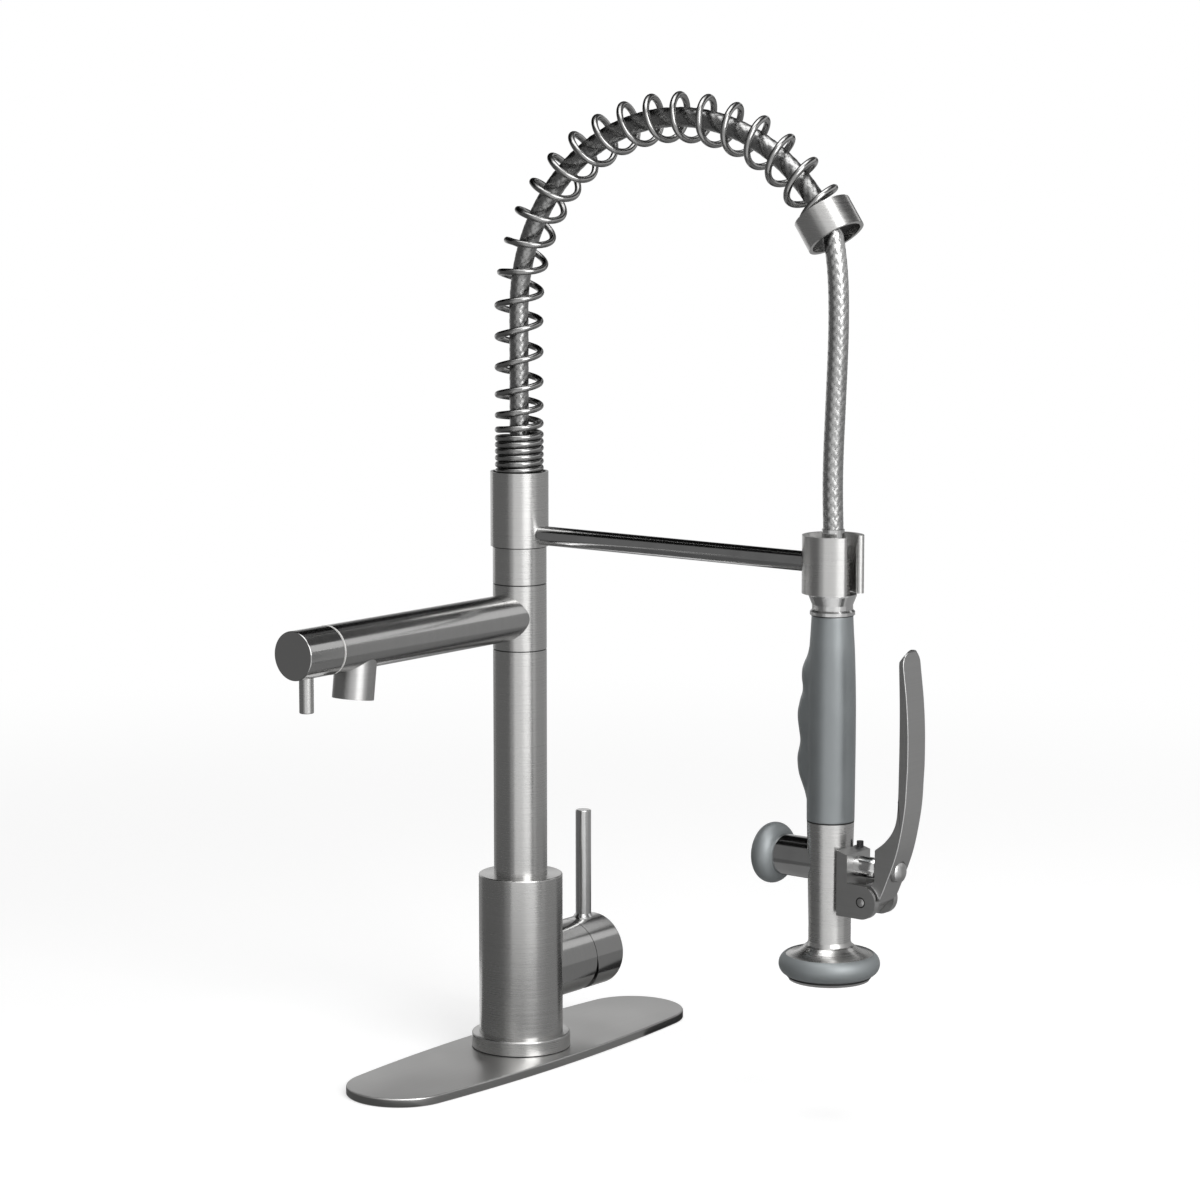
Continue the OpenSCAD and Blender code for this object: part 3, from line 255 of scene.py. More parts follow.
def brushed(name, base, axis, rough, depth=1.0, branch=None):
    """Brushed nickel whose lines run round the axis. A branch is (axis, radius, colour, rough,
    shift): past that radius from an upright line the piece is brushed round another axis. The
    shift brings that line to the frame's middle."""
    f = Finish(name, base, rough=rough, Anisotropic=0.6, Anisotropic_Rotation=0.25)
    tangent, coarse, fine = lay(f, axis), grain(f, axis, COARSE), grain(f, axis, FINE)
    if branch:
        other, radius, second, second_rough, shift = branch
        flat = f.vector("MULTIPLY_ADD", (f.place, "Object"), [1, 1, 0], shift)
        past = f.math("GREATER_THAN", f.vector("LENGTH", flat), radius)
        coarse = f.mix("FLOAT", past, coarse, grain(f, other, COARSE))
        fine = f.mix("FLOAT", past, fine, grain(f, other, FINE))
        tangent = f.mix("VECTOR", past, tangent, lay(f, other))
    f.join(*tangent, f.skin, "Tangent")
    lines = f.math("ADD", f.math("MULTIPLY", coarse, 0.55), f.math("MULTIPLY", fine, 0.45))
    handled = f.noise((28, 28, 28), detail=3)
    spread = f.between(lines, 0, 1, 0.36, 0.64)
    low, high = 1 - 0.07 * depth, 1 + 0.06 * depth
    shade = f.tint(spread, low, high)
    level = f.between(lines, rough - 0.03 * depth, rough + 0.04 * depth)
    if branch:
        f.base = second
        calmer = f.tint(spread, (1 + low) / 2, (1 + high) / 2)
        f.join(*f.mix("RGBA", past, shade, calmer), f.skin, "Base Color")
        level = f.mix("FLOAT", past, level,
                      f.between(lines, second_rough - 0.02, second_rough + 0.03))
    f.rough(f.math("ADD", level, f.between(handled, -0.02, 0.03)))
    f.bump(lines, 0.12 * depth, 0.00003)
    return f.material


def polished(name, base, rough=0.07):
    """Mirror-like plating with a slight waviness and fine wipe marks."""
    f = Finish(name, base, rough=rough)
    wave = f.noise((90, 90, 90), detail=1)
    wipes = f.noise((900, 120, 2400), detail=4, rough=0.7)
    f.tint(f.between(wave, 0, 1), 0.94, 1.05)
    f.rough(f.between(wipes, rough, rough + 0.07, 0.35, 0.75))
    f.bump(f.math("ADD", wave, f.math("MULTIPLY", wipes, 0.05)), 0.08, 0.0002)
    return f.material


def drawn_wire(name, base):
    """Plated spring wire: die lines run along the wire."""
    f = Finish(name, base, rough=0.2)
    lines = f.noise((46, 260, 1), detail=2, rough=0.6, coords="UV")
    stains = f.noise((160, 160, 160), detail=3)
    f.tint(f.math("MULTIPLY", f.between(lines, 0.3, 1), f.between(stains, 0.6, 1)), 0.72, 1.15)
    f.rough(f.between(stains, 0.15, 0.27))
    f.bump(lines, 0.25, 0.00008)
    return f.material


def braided(name, base, depth=1.0):
    """Braid of flat strands of fine wire: the mesh has the strands, the nodes the wires, with
    painted shade in the weave's holes and down each wire's flanks and a painted highlight along
    each wire's crown.
    """
    s = sizes()
    f = Finish(name, base, rough=0.28)
    split = f.add("ShaderNodeSeparateXYZ")
    f.join(f.place, "UV", split, "Vector")
    around = f.math("MULTIPLY", (split, "X"), s.braid_strands)
    along = f.math("DIVIDE", (split, "Y"), s.braid_pitch)
    left, right = f.math("ADD", around, along), f.math("SUBTRACT", around, along)
    cell = f.math("ADD", f.math("FLOOR", left), f.math("FLOOR", right))
    over = f.math("MULTIPLY", f.math("FRACT", f.math("MULTIPLY", cell, 0.5)), 2)
    wires = 6
    ridges, gaps = [], []
    for side in (left, right):
        part = f.math("FRACT", f.math("MULTIPLY", side, wires))
        ridges.append(f.math("SINE", f.math("MULTIPLY", part, math.pi)))
        mid = f.math("ABSOLUTE", f.math("SUBTRACT", f.math("FRACT", side), 0.5))
        gaps.append(f.between(mid, 0, 1, 0.36, 0.5))
    ridge = f.mix("FLOAT", over, *ridges)
    solid = f.math("SUBTRACT", 1, f.math("MULTIPLY", *gaps))
    tarnish = f.noise((420, 420, 420), detail=3)
    # painted shade and highlight: each wire is lighter along its crown and darker down its
    # flanks, and the weave's holes go dark; tarnish dims it at random
    shade = f.math("MULTIPLY", solid, f.between(ridge, 0.55, 1, 0, 0.6))
    f.tint(f.math("MULTIPLY", shade, f.between(tarnish, 0.8, 1)), 0.1, 1.3)
    f.rough(f.between(tarnish, 0.2, 0.34))
    f.bump(f.math("MULTIPLY", ridge, solid), 0.3 * depth, 0.0001)
    return f.material


def rubber(name, base, rough=0.36, shine=1.0, metal=0.55):
    """Satin moulded rubber with a fine skin and faint handling shine."""
    f = Finish(name, base, metal=metal, rough=rough, Specular_IOR_Level=shine)
    skin = f.noise((2400, 2400, 2400), detail=2)
    shine = f.noise((35, 35, 35), detail=3)
    f.tint(f.between(shine, 0, 1), 0.95, 1.05)
    f.rough(f.between(shine, rough - 0.05, rough + 0.06))
    f.bump(skin, 0.12, 0.00006)
    return f.material


def moulded(name, base, rough=0.5):
    """Moulded plastic with a spark-eroded skin."""
    f = Finish(name, base, metal=0, rough=rough)
    skin = f.noise((1500, 1500, 1500), detail=3)
    f.tint(f.between(skin, 0, 1), 0.93, 1.07)
    f.rough(f.between(skin, rough - 0.06, rough + 0.06))
    f.bump(skin, 0.2, 0.00008)
    return f.material


def cast_brass(name, base):
    """Machined brass with tool marks and a little tarnish."""
    f = Finish(name, base, rough=0.33)
    marks = f.noise((60, 60, 2600), detail=3)
    tarnish = f.noise((70, 70, 70), detail=4)
    f.tint(f.between(tarnish, 0, 1), 0.72, 1.05)
    f.rough(f.between(tarnish, 0.26, 0.44))
    f.bump(marks, 0.25, 0.00006)
    return f.material


def tone(base, share):
    """A colour made darker or lighter by a share."""
    return [share * value for value in base]


MADE = {}


def finish(name):
    """The material of a finish, made once."""
    c = finishes()
    column, sprayer = [0, 0, 0], [0, REACH, 0]
    makers = {
        "nickel": (brushed, "brushed_nickel", c.nickel, "z", 0.27),
        "nickel_body": (brushed, "brushed_nickel_body", c.nickel, "z", 0.27, 1.0,
                        ("x", 0.0223, c.spout, 0.13, column)),
        "ring": (brushed, "brushed_ring", tone(c.nickel, 1.02), "z", 0.46, 1.0,
                 ("z", 0.0149, c.nickel, 0.27, sprayer)),
        "nozzle": (brushed, "brushed_nozzle", c.spout, "z", 0.38, 0.8),
        "plate": (brushed, "brushed_plate", tone(c.nickel, 1.06), "y", 0.34, 0.6),
        # painted shade: a darker copy of the nickel for the deck plate's side faces
        "plate_edge": (brushed, "brushed_plate_edge", tone(c.nickel, 0.8), "z", 0.3, 0.5),
        "spout": (brushed, "brushed_spout", c.nickel, "z", 0.27, 1.0,
                  ("x", 0.01416, c.spout, 0.17, column)),
        "satin": (brushed, "satin_nickel", c.spout, "x", 0.15, 0.35),
        "cap": (brushed, "cap_nickel", c.spout, "x", 0.13, 0.25),
        "rod": (brushed, "satin_rod", c.chrome, "z", 0.2, 0.4),
        "lever": (brushed, "forged_steel", c.forged, "z", 0.3, 0.5),
        "stem": (brushed, "turned_stem", c.chrome, "y", 0.14, 0.2),
        "chrome": (polished, "polished_steel", c.chrome),
        "black_chrome": (polished, "black_chrome", c.black_chrome, 0.09),
        "wire": (drawn_wire, "spring_wire", c.wire),
        "braid": (braided, "hose_braid", c.braid),
        # painted shade: the hose inside the spring is a darker copy of the same braid
        "braid_inside": (braided, "hose_braid_inside", tone(c.braid, 0.75), 0.5),
        "rubber": (rubber, "grey_rubber", c.rubber),
        "bumper": (rubber, "grey_bumper", c.rubber, 0.52),
        "seal": (rubber, "black_rubber", (0.012, 0.012, 0.012), 0.5, 0.3, 0),
        "black_plastic": (moulded, "black_plastic", (0.018, 0.018, 0.019)),
        "pale_plastic": (moulded, "pale_plastic", (0.72, 0.715, 0.7)),
        "brass": (cast_brass, "machined_brass", c.brass),
    }
    if name not in MADE:
        make, *values = makers[name]
        MADE[name] = make(*values)
    return MADE[name]


def dress(thing, name):
    """Puts one finish on a piece or a CAD node."""
    thing.data.materials.clear()
    thing.data.materials.append(finish(name))
    return thing


# ---------------------------------------------------------------- making pieces

def piece(name, mesh, body, slot, look, *stands_for):
    """A finished piece: its place is in its mesh, and it rides on a CAD body."""
    thing = bpy.data.objects.new(name, mesh)
    bpy.context.scene.collection.objects.link(thing)
    dress(thing, look)
    if body:
        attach(thing, body)
    if stands_for:
        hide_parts(*stands_for)
    return thing


def smooth(mesh, angle=40):
    """Smooth shading with sharp edges kept above an angle."""
    mesh.polygons.foreach_set("use_smooth", [True] * len(mesh.polygons))
    mesh.set_sharp_from_angle(angle=math.radians(angle))
    return mesh


def spline(points, steps):
    """A smooth line through the points, steps pieces between two of them."""
    out = []
    for i in range(len(points) - 1):
        a, b = points[max(i - 1, 0)], points[i]
        c, d = points[i + 1], points[min(i + 2, len(points) - 1)]
        for k in range(steps):
            t = k / steps
            out.append(b + 0.5 * ((c - a) * t + (2 * a - 5 * b + 4 * c - d) * t ** 2
                                  + (3 * b - a - 3 * c + d) * t ** 3))
    out.append(points[-1])
    return out


def skin(name, rings):
    """Mesh of a closed skin through rings of points, all with the same count."""
    rows, count = len(rings), len(rings[0])
    faces = []
    for i in range(rows - 1):
        for j in range(count):
            k = (j + 1) % count
            faces.append((i * count + j, i * count + k, (i + 1) * count + k,
                          (i + 1) * count + j))
    faces.append(tuple(reversed(range(count))))
    faces.append(tuple((rows - 1) * count + j for j in range(count)))
    mesh = bpy.data.meshes.new(name)
    mesh.from_pydata([point for ring in rings for point in ring], [], faces)
    mesh.update()
    return mesh


def tube(name, line, rays, radius, sides, relief=None):
    """Mesh of a round wire or hose on a line; rays point across it at the seam. Its map
    runs round the tube from 0 to 1 and along it in metres."""
    run = [0.0]
    for a, b in zip(line, line[1:]):
        run.append(run[-1] + (b - a).length)
    rings, marks = [], []
    last = len(line) - 1
    for i, (point, ray) in enumerate(zip(line, rays)):
        ahead = (line[min(i + 1, last)] - line[max(i - 1, 0)]).normalized()
        across = (ray - ahead * ray.dot(ahead)).normalized()
        side = ahead.cross(across)
        ring = []
        for j in range(sides):
            turn = math.tau * j / sides
            r = radius + (relief(j / sides, run[i]) if relief else 0)
            ring.append(point + across * (r * math.cos(turn)) + side * (r * math.sin(turn)))
        rings.append(ring)
    for low, high in zip(run, run[1:]):
        for j in range(sides):
            here, there = j / sides, (j + 1) / sides
            marks += [here, low, there, low, there, high, here, high]
    marks += [0, 0] * (2 * sides)
    mesh = skin(name, rings)
    mesh.uv_layers.new(name="along").data.foreach_set("uv", marks)
    return smooth(mesh, 60)


def turned(name, profile, foot, axis, body, slot, look, *stands_for, sides=96):
    """A piece turned on a lathe: profile of (radius, height) from foot along the axis, in
    millimetres."""
    foot, axis = Vector(foot), Vector(axis)
    across = axis.orthogonal().normalized()
    side = axis.cross(across)
    rings = [[foot + axis * h + (across * math.cos(math.tau * j / sides)
                                 + side * math.sin(math.tau * j / sides)) * r
              for j in range(sides)] for r, h in profile]
    mesh = smooth(skin(name, rings))
    mesh.transform(Matrix.Scale(MM, 4))
    return piece(name, mesh, body, slot, look, *stands_for)


def band(inner, outer, low, high):
    """Profile of a flat ring."""
    return [(inner, low), (outer, low), (outer, high), (inner, high)]


def arc(middle, radius, start, stop, step):
    """Points of an arc in a plane, with its angles in whole degrees."""
    return [(middle[0] + radius * math.cos(math.radians(a)),
             middle[1] + radius * math.sin(math.radians(a))) for a in range(start, stop, step)]


def prism(name, outline, low, high, axis):
    """Mesh of an outline drawn across an axis, from low to high along it."""
    at = "xyz".index(axis)
    mesh = skin(name, [[(*p[:at], h, *p[at:]) for p in outline] for h in (low, high)])
    made = bmesh.new()
    made.from_mesh(mesh)
    bmesh.ops.recalc_face_normals(made, faces=made.faces)
    made.to_mesh(mesh)
    made.free()
    return mesh


def cut(mesh, *steps):
    """The mesh after solid steps, each ("INTERSECT" or "DIFFERENCE", mesh)."""
    work = bpy.data.objects.new("work", mesh)
    bpy.context.scene.collection.objects.link(work)
    tools = []
    for kind, tool in steps:
        other = bpy.data.objects.new("tool", tool)
        bpy.context.scene.collection.objects.link(other)
        tools.append(other)
        step = work.modifiers.new(kind, "BOOLEAN")
        step.operation, step.object, step.solver = kind, other, "EXACT"
    bpy.context.view_layer.update()
    done = bpy.data.meshes.new_from_object(
        work.evaluated_get(bpy.context.evaluated_depsgraph_get()))
    for other in tools + [work]:
        bpy.data.objects.remove(other)
    return done


def round_edges(thing, width, segments):
    """Rounds the piece's sharp edges."""
    edge = thing.modifiers.new("rounded edges", "BEVEL")
    edge.width, edge.segments, edge.limit_method = width, segments, "ANGLE"
    edge.angle_limit = math.radians(40)
    edge.harden_normals = True
    edge.use_clamp_overlap = False


# ---------------------------------------------------------------- line of spring and hose

# part of an ellipse with its middle at ARCH_Z; the spring's foot is in the arm's collar
ARCH_A, ARCH_B, ARCH_Z = 0.1035, 0.1, 0.3955
ARCH_END = math.radians(146.5)
FOOT_Z = 0.30885


class ArchLine:
    """Middle line of the spring: straight up the column, round the arch and into the cap."""
    STEPS = 2000

    def __init__(self):
        self.straight = ARCH_Z - FOOT_Z
        self.turns, self.runs = [0.0], [0.0]
        step = ARCH_END / self.STEPS
        for i in range(self.STEPS):
            mid = ARCH_END * (i + 0.5) / self.STEPS
            self.turns.append(ARCH_END * (i + 1) / self.STEPS)
            self.runs.append(self.runs[-1] + step * math.hypot(ARCH_A * math.sin(mid),
                                                               ARCH_B * math.cos(mid)))
        self.arc = self.runs[-1]

    def phi(self, run):
        """Angle on the ellipse at a distance along the arch."""
        low, high = 0, len(self.runs) - 1
        while high - low > 1:
            mid = (low + high) // 2
            low, high = (mid, high) if self.runs[mid] <= run else (low, mid)
        share = (run - self.runs[low]) / (self.runs[high] - self.runs[low])
        return self.turns[low] + share * (self.turns[high] - self.turns[low])

    def at(self, run):
        """Point and direction at a distance from the spring's foot."""
        if run <= self.straight:
            return Vector((0, 0, FOOT_Z + run)), Vector((0, 0, 1))
        over = run - self.straight
        phi = self.phi(min(over, self.arc))
        point = Vector((0, ARCH_A * (math.cos(phi) - 1), ARCH_Z + ARCH_B * math.sin(phi)))
        ahead = Vector((0, -ARCH_A * math.sin(phi), ARCH_B * math.cos(phi))).normalized()
        return point + ahead * max(0, over - self.arc), ahead


ARCH = ArchLine()
CLOSE_TURNS, RAMP_TURNS, OPEN_TURNS = 6.25, 3.75, 18.25
CLOSE_PITCH, OPEN_PITCH = 3.45 * MM, 15.9225 * MM
COIL_START = math.radians(49)  # where the wire begins, round the column


def turn_run(n):
    """How far along its line the spring is after n turns."""
    if n < CLOSE_TURNS:
        return CLOSE_PITCH * n
    if n < CLOSE_TURNS + RAMP_TURNS:
        return CLOSE_PITCH * n + (n - CLOSE_TURNS) ** 2 * (OPEN_PITCH - CLOSE_PITCH) / (
            2 * RAMP_TURNS)
    return (CLOSE_PITCH * CLOSE_TURNS + RAMP_TURNS * (CLOSE_PITCH + OPEN_PITCH) / 2
            + (n - CLOSE_TURNS - RAMP_TURNS) * OPEN_PITCH)


def braid_relief(u, run):
    """Height of the woven strands over the hose, strand over strand."""
    s, strand = sizes(), 0.26 * MM
    around, along = u * s.braid_strands, run / s.braid_pitch
    left, right = around + along, around - along
    over = (math.floor(left) + math.floor(right)) % 2
    top = left if over else right
    crown = 1 - (2 * (top - math.floor(top)) - 1) ** 2
    other = right if over else left
    bow = 1 - (2 * (other - math.floor(other)) - 1) ** 2
    return strand * (0.75 * crown * (0.4 + 0.6 * bow) - 0.35)


# y and z of the free hose's middle line, in millimetres
HOSE_ROUTE = [(-194.95, 443.186), (-196.1, 441), (-197.2, 436.5), (-198.2, 430.5),
              (-199.2, 423), (-199.9, 414), (-200.2, 404), (-200.2, 392), (-199.8, 378),
              (-199.2, 364), (-198.6, 350), (-198, 336), (-197.7, 322), (-197.8, 310),
              (-198.1, 301), (-198.2, 296.5)]


# ---------------------------------------------------------------- operators

class MakeCamera(bpy.types.Operator):
    """Put up the camera that the photograph was taken with"""
    bl_idname = "faucet.make_camera"
    bl_label = "Camera"

    def execute(self, context):
        data = bpy.data.cameras.new("camera")
        data.lens, data.sensor_width, data.sensor_fit = studio().lens, 36, "HORIZONTAL"
        data.clip_start, data.clip_end = 0.05, 50
        camera = bpy.data.objects.new("camera", data)
        context.scene.collection.objects.link(camera)
        right = Vector((0.61741, -0.78664, 0))
        up = Vector((0.11101, 0.08713, 0.98999))
        back = Vector((-0.77877, -0.61123, 0.14112))
        turn = Matrix((right, up, back)).transposed().to_4x4()
        camera.matrix_world = Matrix.Translation((-1.4319, -1.1773, 0.5083)) @ turn
        context.scene.camera = camera
        return {"FINISHED"}


class MakeDropHose(bpy.types.Operator):
    """Make the free stretch of braided hose from the spring cap to the sprayer"""
    bl_idname = "faucet.make_drop_hose"
    bl_label = "Hanging hose"

    def execute(self, context):
        knots = [Vector((0, y * MM, z * MM)) for y, z in HOSE_ROUTE]
        line = spline(knots, 20)
        mesh = tube("drop_hose_braid", line, [Vector((1, 0, 0))] * len(line),
                    sizes().hose / 2, 64, braid_relief)
        hose = piece("drop_hose_braid", mesh, None, "braid", "braid", "drop_hose")
        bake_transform(hose)
        return {"FINISHED"}


class MakeArchHose(bpy.types.Operator):
    """Make the braided hose that runs inside the support spring"""
    bl_idname = "faucet.make_arch_hose"
    bl_label = "Hose in the arch"

    def execute(self, context):
        steps, into_collar, into_cap = 620, 5.25 * MM, 9.1 * MM
        start, stop = into_collar, ARCH.straight + ARCH.arc + into_cap
        line = [ARCH.at(start + (stop - start) * i / steps)[0] for i in range(steps + 1)]
        mesh = tube("arch_hose_braid", line, [Vector((1, 0, 0))] * len(line),
                    sizes().hose / 2, 56, braid_relief)
        piece("arch_hose_braid", mesh, "arm", "braid", "braid_inside", "arch_hose")
        return {"FINISHED"}


class MakeSpring(bpy.types.Operator):
    """Wind the support spring: close turns in the collar, open turns over the arch"""
    bl_idname = "faucet.make_spring"
    bl_label = "Support spring"

    def execute(self, context):
        s = sizes()
        total = CLOSE_TURNS + RAMP_TURNS + OPEN_TURNS
        per_turn = 44
        line, rays = [], []
        for i in range(int(total * per_turn) + 1):
            n = min(i / per_turn, total)
            point, ahead = ARCH.at(turn_run(n))
            turn = COIL_START + math.tau * n
            ray = Vector((-math.sin(turn), math.cos(turn) * ahead.z,
                          -math.cos(turn) * ahead.y))
            line.append(point + ray * s.coil)
            rays.append(ray)
        into_cap = ARCH.at(turn_run(total))[1]
        line = [line[0] - Vector((0, 0, s.wire))] + line + [line[-1] + into_cap * s.wire]
        rays = [rays[0]] + rays + [rays[-1]]
        mesh = tube("spring_coil", line, rays, s.wire / 2, 16)
        piece("spring_coil", mesh, "arm", "dark_nickel", "wire", "support_spring")
        return {"FINISHED"}


class MakeReturnSpring(bpy.types.Operator):
    """Wind the return spring of the side valve, pressed together by the spool"""
    bl_idname = "faucet.make_return_spring"
    bl_label = "Return spring"

    def execute(self, context):
        wire_r, coil_r, turns, per_turn = 0.6 * MM, 5.7 * MM, 8, 36
        front, back = -189.5 * MM, -168.9 * MM
        line, rays = [], []
        for i in range(turns * per_turn + 1):
            share = i / (turns * per_turn)
            turn = math.tau * turns * share
            ray = Vector((math.sin(turn), 0, math.cos(turn)))
            line.append(Vector((0, front + (back - front) * share, VALVE_Z)) + ray * coil_r)
            rays.append(ray)
        mesh = tube("return_spring", line, rays, wire_r, 12)
        coil_piece = piece("return_spring", mesh, None, "chrome", "chrome", "valve_spring")
        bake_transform(coil_piece)
        return {"FINISHED"}


class MakeDeckPlate(bpy.types.Operator):
    """Make the deck plate with its soft upper edge"""
    bl_idname = "faucet.make_deck_plate"
    bl_label = "Deck plate"

    def outline(self, inset):
        """Points in metres along arcs for ends and sides; the inset is in millimetres."""
        end_x, end_r, half = 96.5, 28.5, 34
        arc_r = (end_x ** 2 + half ** 2 - end_r ** 2) / (2 * (half - end_r))
        lean = math.atan2(arc_r - half, end_x)
        points = []
        for x, y, r, a, b, steps in (
                (end_x, 0, end_r, -lean, lean, 56),
                (0, half - arc_r, arc_r, lean, math.pi - lean, 40),
                (-end_x, 0, end_r, math.pi - lean, math.pi + lean, 56),
                (0, arc_r - half, arc_r, math.pi + lean, math.tau - lean, 40)):
            points += [((x + (r - inset) * math.cos(a + (b - a) * i / steps)) * MM,
                        (y + (r - inset) * math.sin(a + (b - a) * i / steps)) * MM)
                       for i in range(steps)]
        return points

    def execute(self, context):
        thick, bevel, edge, shaded_side_limit = 4.5, 0.3, sizes().plate_edge / MM, 0.35
        rings = []
        for inset, z in [(bevel, 0), (0, bevel)] + [
                (edge * (1 - math.cos(math.radians(a))),
                 thick - edge + edge * math.sin(math.radians(a)))
                for a in (0, 15, 30, 45, 60, 75, 90)]:
            rings.append([Vector((x, y, z * MM)) for x, y in self.outline(inset)])
        mesh = smooth(skin("plate_skin", rings), 50)
        plate = piece("plate_skin", mesh, "base", "nickel", "plate", "deck_plate")
        # painted shade: the side faces, picked by their facing, get a darker copy of the nickel
        plate.data.materials.append(finish("plate_edge"))
        for face in plate.data.polygons:
            face.material_index = int(abs(face.normal.z) < shaded_side_limit)
        return {"FINISHED"}


class MakeGrip(bpy.types.Operator):
    """Mould the grip with its finger lobes"""
    bl_idname = "faucet.make_grip"
    bl_label = "Grip"

    # millimetres; the tables hold a share of the height and a reach as a share of R
    FOOT, TALL, R = 151.6, 103.0, 11.8
    BARREL = [(0, 1), (0.15, 1.01), (0.4, 1.02), (0.6, 1.01), (0.8, 0.96), (0.92, 0.9),
              (1, 0.865)]
    LOBES = [(0.08, 0.95), (0.11, 1.04), (0.14, 1.12), (0.18, 1.27), (0.215, 1.4),
             (0.25, 1.47), (0.285, 1.5), (0.31, 1.49), (0.34, 1.43), (0.37, 1.37),
             (0.395, 1.37), (0.43, 1.42), (0.47, 1.48), (0.5, 1.505), (0.53, 1.49),
             (0.56, 1.43), (0.59, 1.36), (0.62, 1.27), (0.65, 1.26), (0.68, 1.3),
             (0.705, 1.31), (0.735, 1.28), (0.765, 1.18), (0.79, 1.07), (0.82, 0.98),
             (0.86, 0.9)]

    def width(self, table, share):
        """Reach from a table at a share of the grip's height."""
        line = spline([Vector((a, b, 0)) for a, b in table], 12)
        for a, b in zip(line, line[1:]):
            if a.x <= share <= b.x:
                return self.R * (a.y + (b.y - a.y) * (share - a.x) / (b.x - a.x))
        return self.R * (line[0].y if share < line[0].x else line[-1].y)

    @staticmethod
    def section(turn, lobe):
        """Reach of the lobes' section at an angle from their side: a round nose that is cut
        flat in front, and straight flanks back to the barrel."""
        back, nose, strip, least, ahead = 11.4, 9.0, 0.55, 0.05, 1.2
        out = lobe + strip - nose
        if out <= back - nose + least:
            return 0
        lean = math.acos((back - nose) / out)
        turn = abs(turn)
        meets = math.atan2(nose * math.sin(lean), out + nose * math.cos(lean))
        if turn >= lean:
            return 0
        if turn < meets:
            reach = out * math.cos(turn) + math.sqrt(nose ** 2 - (out * math.sin(turn)) ** 2)
        else:
            reach = back / math.cos(turn - lean)
        return min(reach, lobe / math.cos(turn)) if turn < ahead else reach

    def execute(self, context):
        rows, sides, soft, lip, rim = 170, 176, 0.35, 0.5, 0.7
        turns = []  # closer together on the lobes' side
        for j in range(sides):
            t = (j + 0.5) / sides * 2 - 1
            turns.append(math.pi * (0.5 * t + 0.5 * t ** 3))
        rings = []
        for i in range(rows + 1):
            share = i / rows
            barrel, lobe = self.width(self.BARREL, share), self.width(self.LOBES, share)
            end = min(share, 1 - share) * self.TALL
            barrel -= lip * max(0, 1 - end / rim) ** 2
            ring = []
            for turn in turns:
                reach = self.section(turn, lobe)
                ease = max(soft - abs(barrel - reach), 0) ** 2 / (4 * soft)
                reach = max(barrel, reach) + ease
                ring.append(Vector((-reach * math.sin(turn) * MM,
                                    -REACH + reach * math.cos(turn) * MM,
                                    (self.FOOT + share * self.TALL) * MM)))
            rings.append(ring)
        mesh = smooth(skin("grip_skin", rings), 50)
        piece("grip_skin", mesh, "sprayer", "grey_rubber", "rubber", "grip")
        # painted shade: a dark ring at the grip's foot stands for the shade in the gap there
        turned("grip_gap_shade", band(11.2, 11.72, 0, 0.7), (0, -REACH / MM, 151.35), (0, 0, 1),
               "sprayer", "black_rubber", "seal")
        return {"FINISHED"}


class MakeLever(bpy.types.Operator):
    """Cut the trigger lever from its side outline and round its edges"""
    bl_idname = "faucet.make_lever"
    bl_label = "Trigger lever"

    # side outline from the pin: outwards and upwards, as shares of the lever's height
    INNER = [(0.0492, 0.09), (0.0492, 0.21), (0.095, 0.247), (0.131, 0.294),
             (0.1484, 0.346), (0.154, 0.424), (0.1556, 0.502), (0.1571, 0.633),
             (0.1563, 0.783), (0.1508, 0.956)]
    OUTER = [(0.1722, 1), (0.173, 0.946), (0.1897, 0.807), (0.1976, 0.688),
             (0.1984, 0.569), (0.1952, 0.498), (0.1857, 0.371), (0.1532, 0.212),
             (0.1056, 0.085), (0.0698, 0.006), (0.0413, -0.016), (0, -0.0611)]
    TALL = 0.126
    HUB_R, CHEEK_R, SEAT_R = 7.7 * MM, 9.0 * MM, 5.25 * MM
    FORK = 6.5 * MM  # half of what is left of the width between the bracket's cheeks

    def smoothed(self, points):
        """Points in metres, (y, z), on a smooth line through a table's points."""
        return [(PIVOT[0] - p.x * self.TALL, PIVOT[1] + p.y * self.TALL)
                for p in spline([Vector((a, b, 0)) for a, b in points], 8)]

    def execute(self, context):
        s = sizes()
        half, (py, pz) = s.lever_width / 2, PIVOT
        side = (self.smoothed(self.INNER[1:]) + self.smoothed(self.OUTER)
                + arc(PIVOT, self.HUB_R, -85, 117, 4) + self.smoothed(self.INNER[:2]))
        front = arc((0, pz + self.TALL - half), half, 0, 181, 4)
        front += [(-half, pz - 0.012), (half, pz - 0.012)]
        cheek = arc(PIVOT, self.CHEEK_R, 0, 360, 5)
        seat = arc((0, VALVE_Z), self.SEAT_R, 0, 360, 6)
        blade = cut(prism("blade", side, -half, half, "x"),
                    ("INTERSECT", prism("outline", front, py - 0.06, py + 0.02, "y")),
                    ("DIFFERENCE", prism("cheek", cheek, -0.02, -self.FORK, "x")),
                    ("DIFFERENCE", prism("cheek", cheek, self.FORK, 0.02, "x")),
                    ("DIFFERENCE", prism("seat", seat, -0.262, -0.2358, "y")))
        blade.name = "lever_blade"
        lever = piece("lever_blade", smooth(blade, 32), "trigger", "dark_nickel", "lever",
                      "trigger_lever")
        round_edges(lever, s.lever_edge, 3)
        return {"FINISHED"}


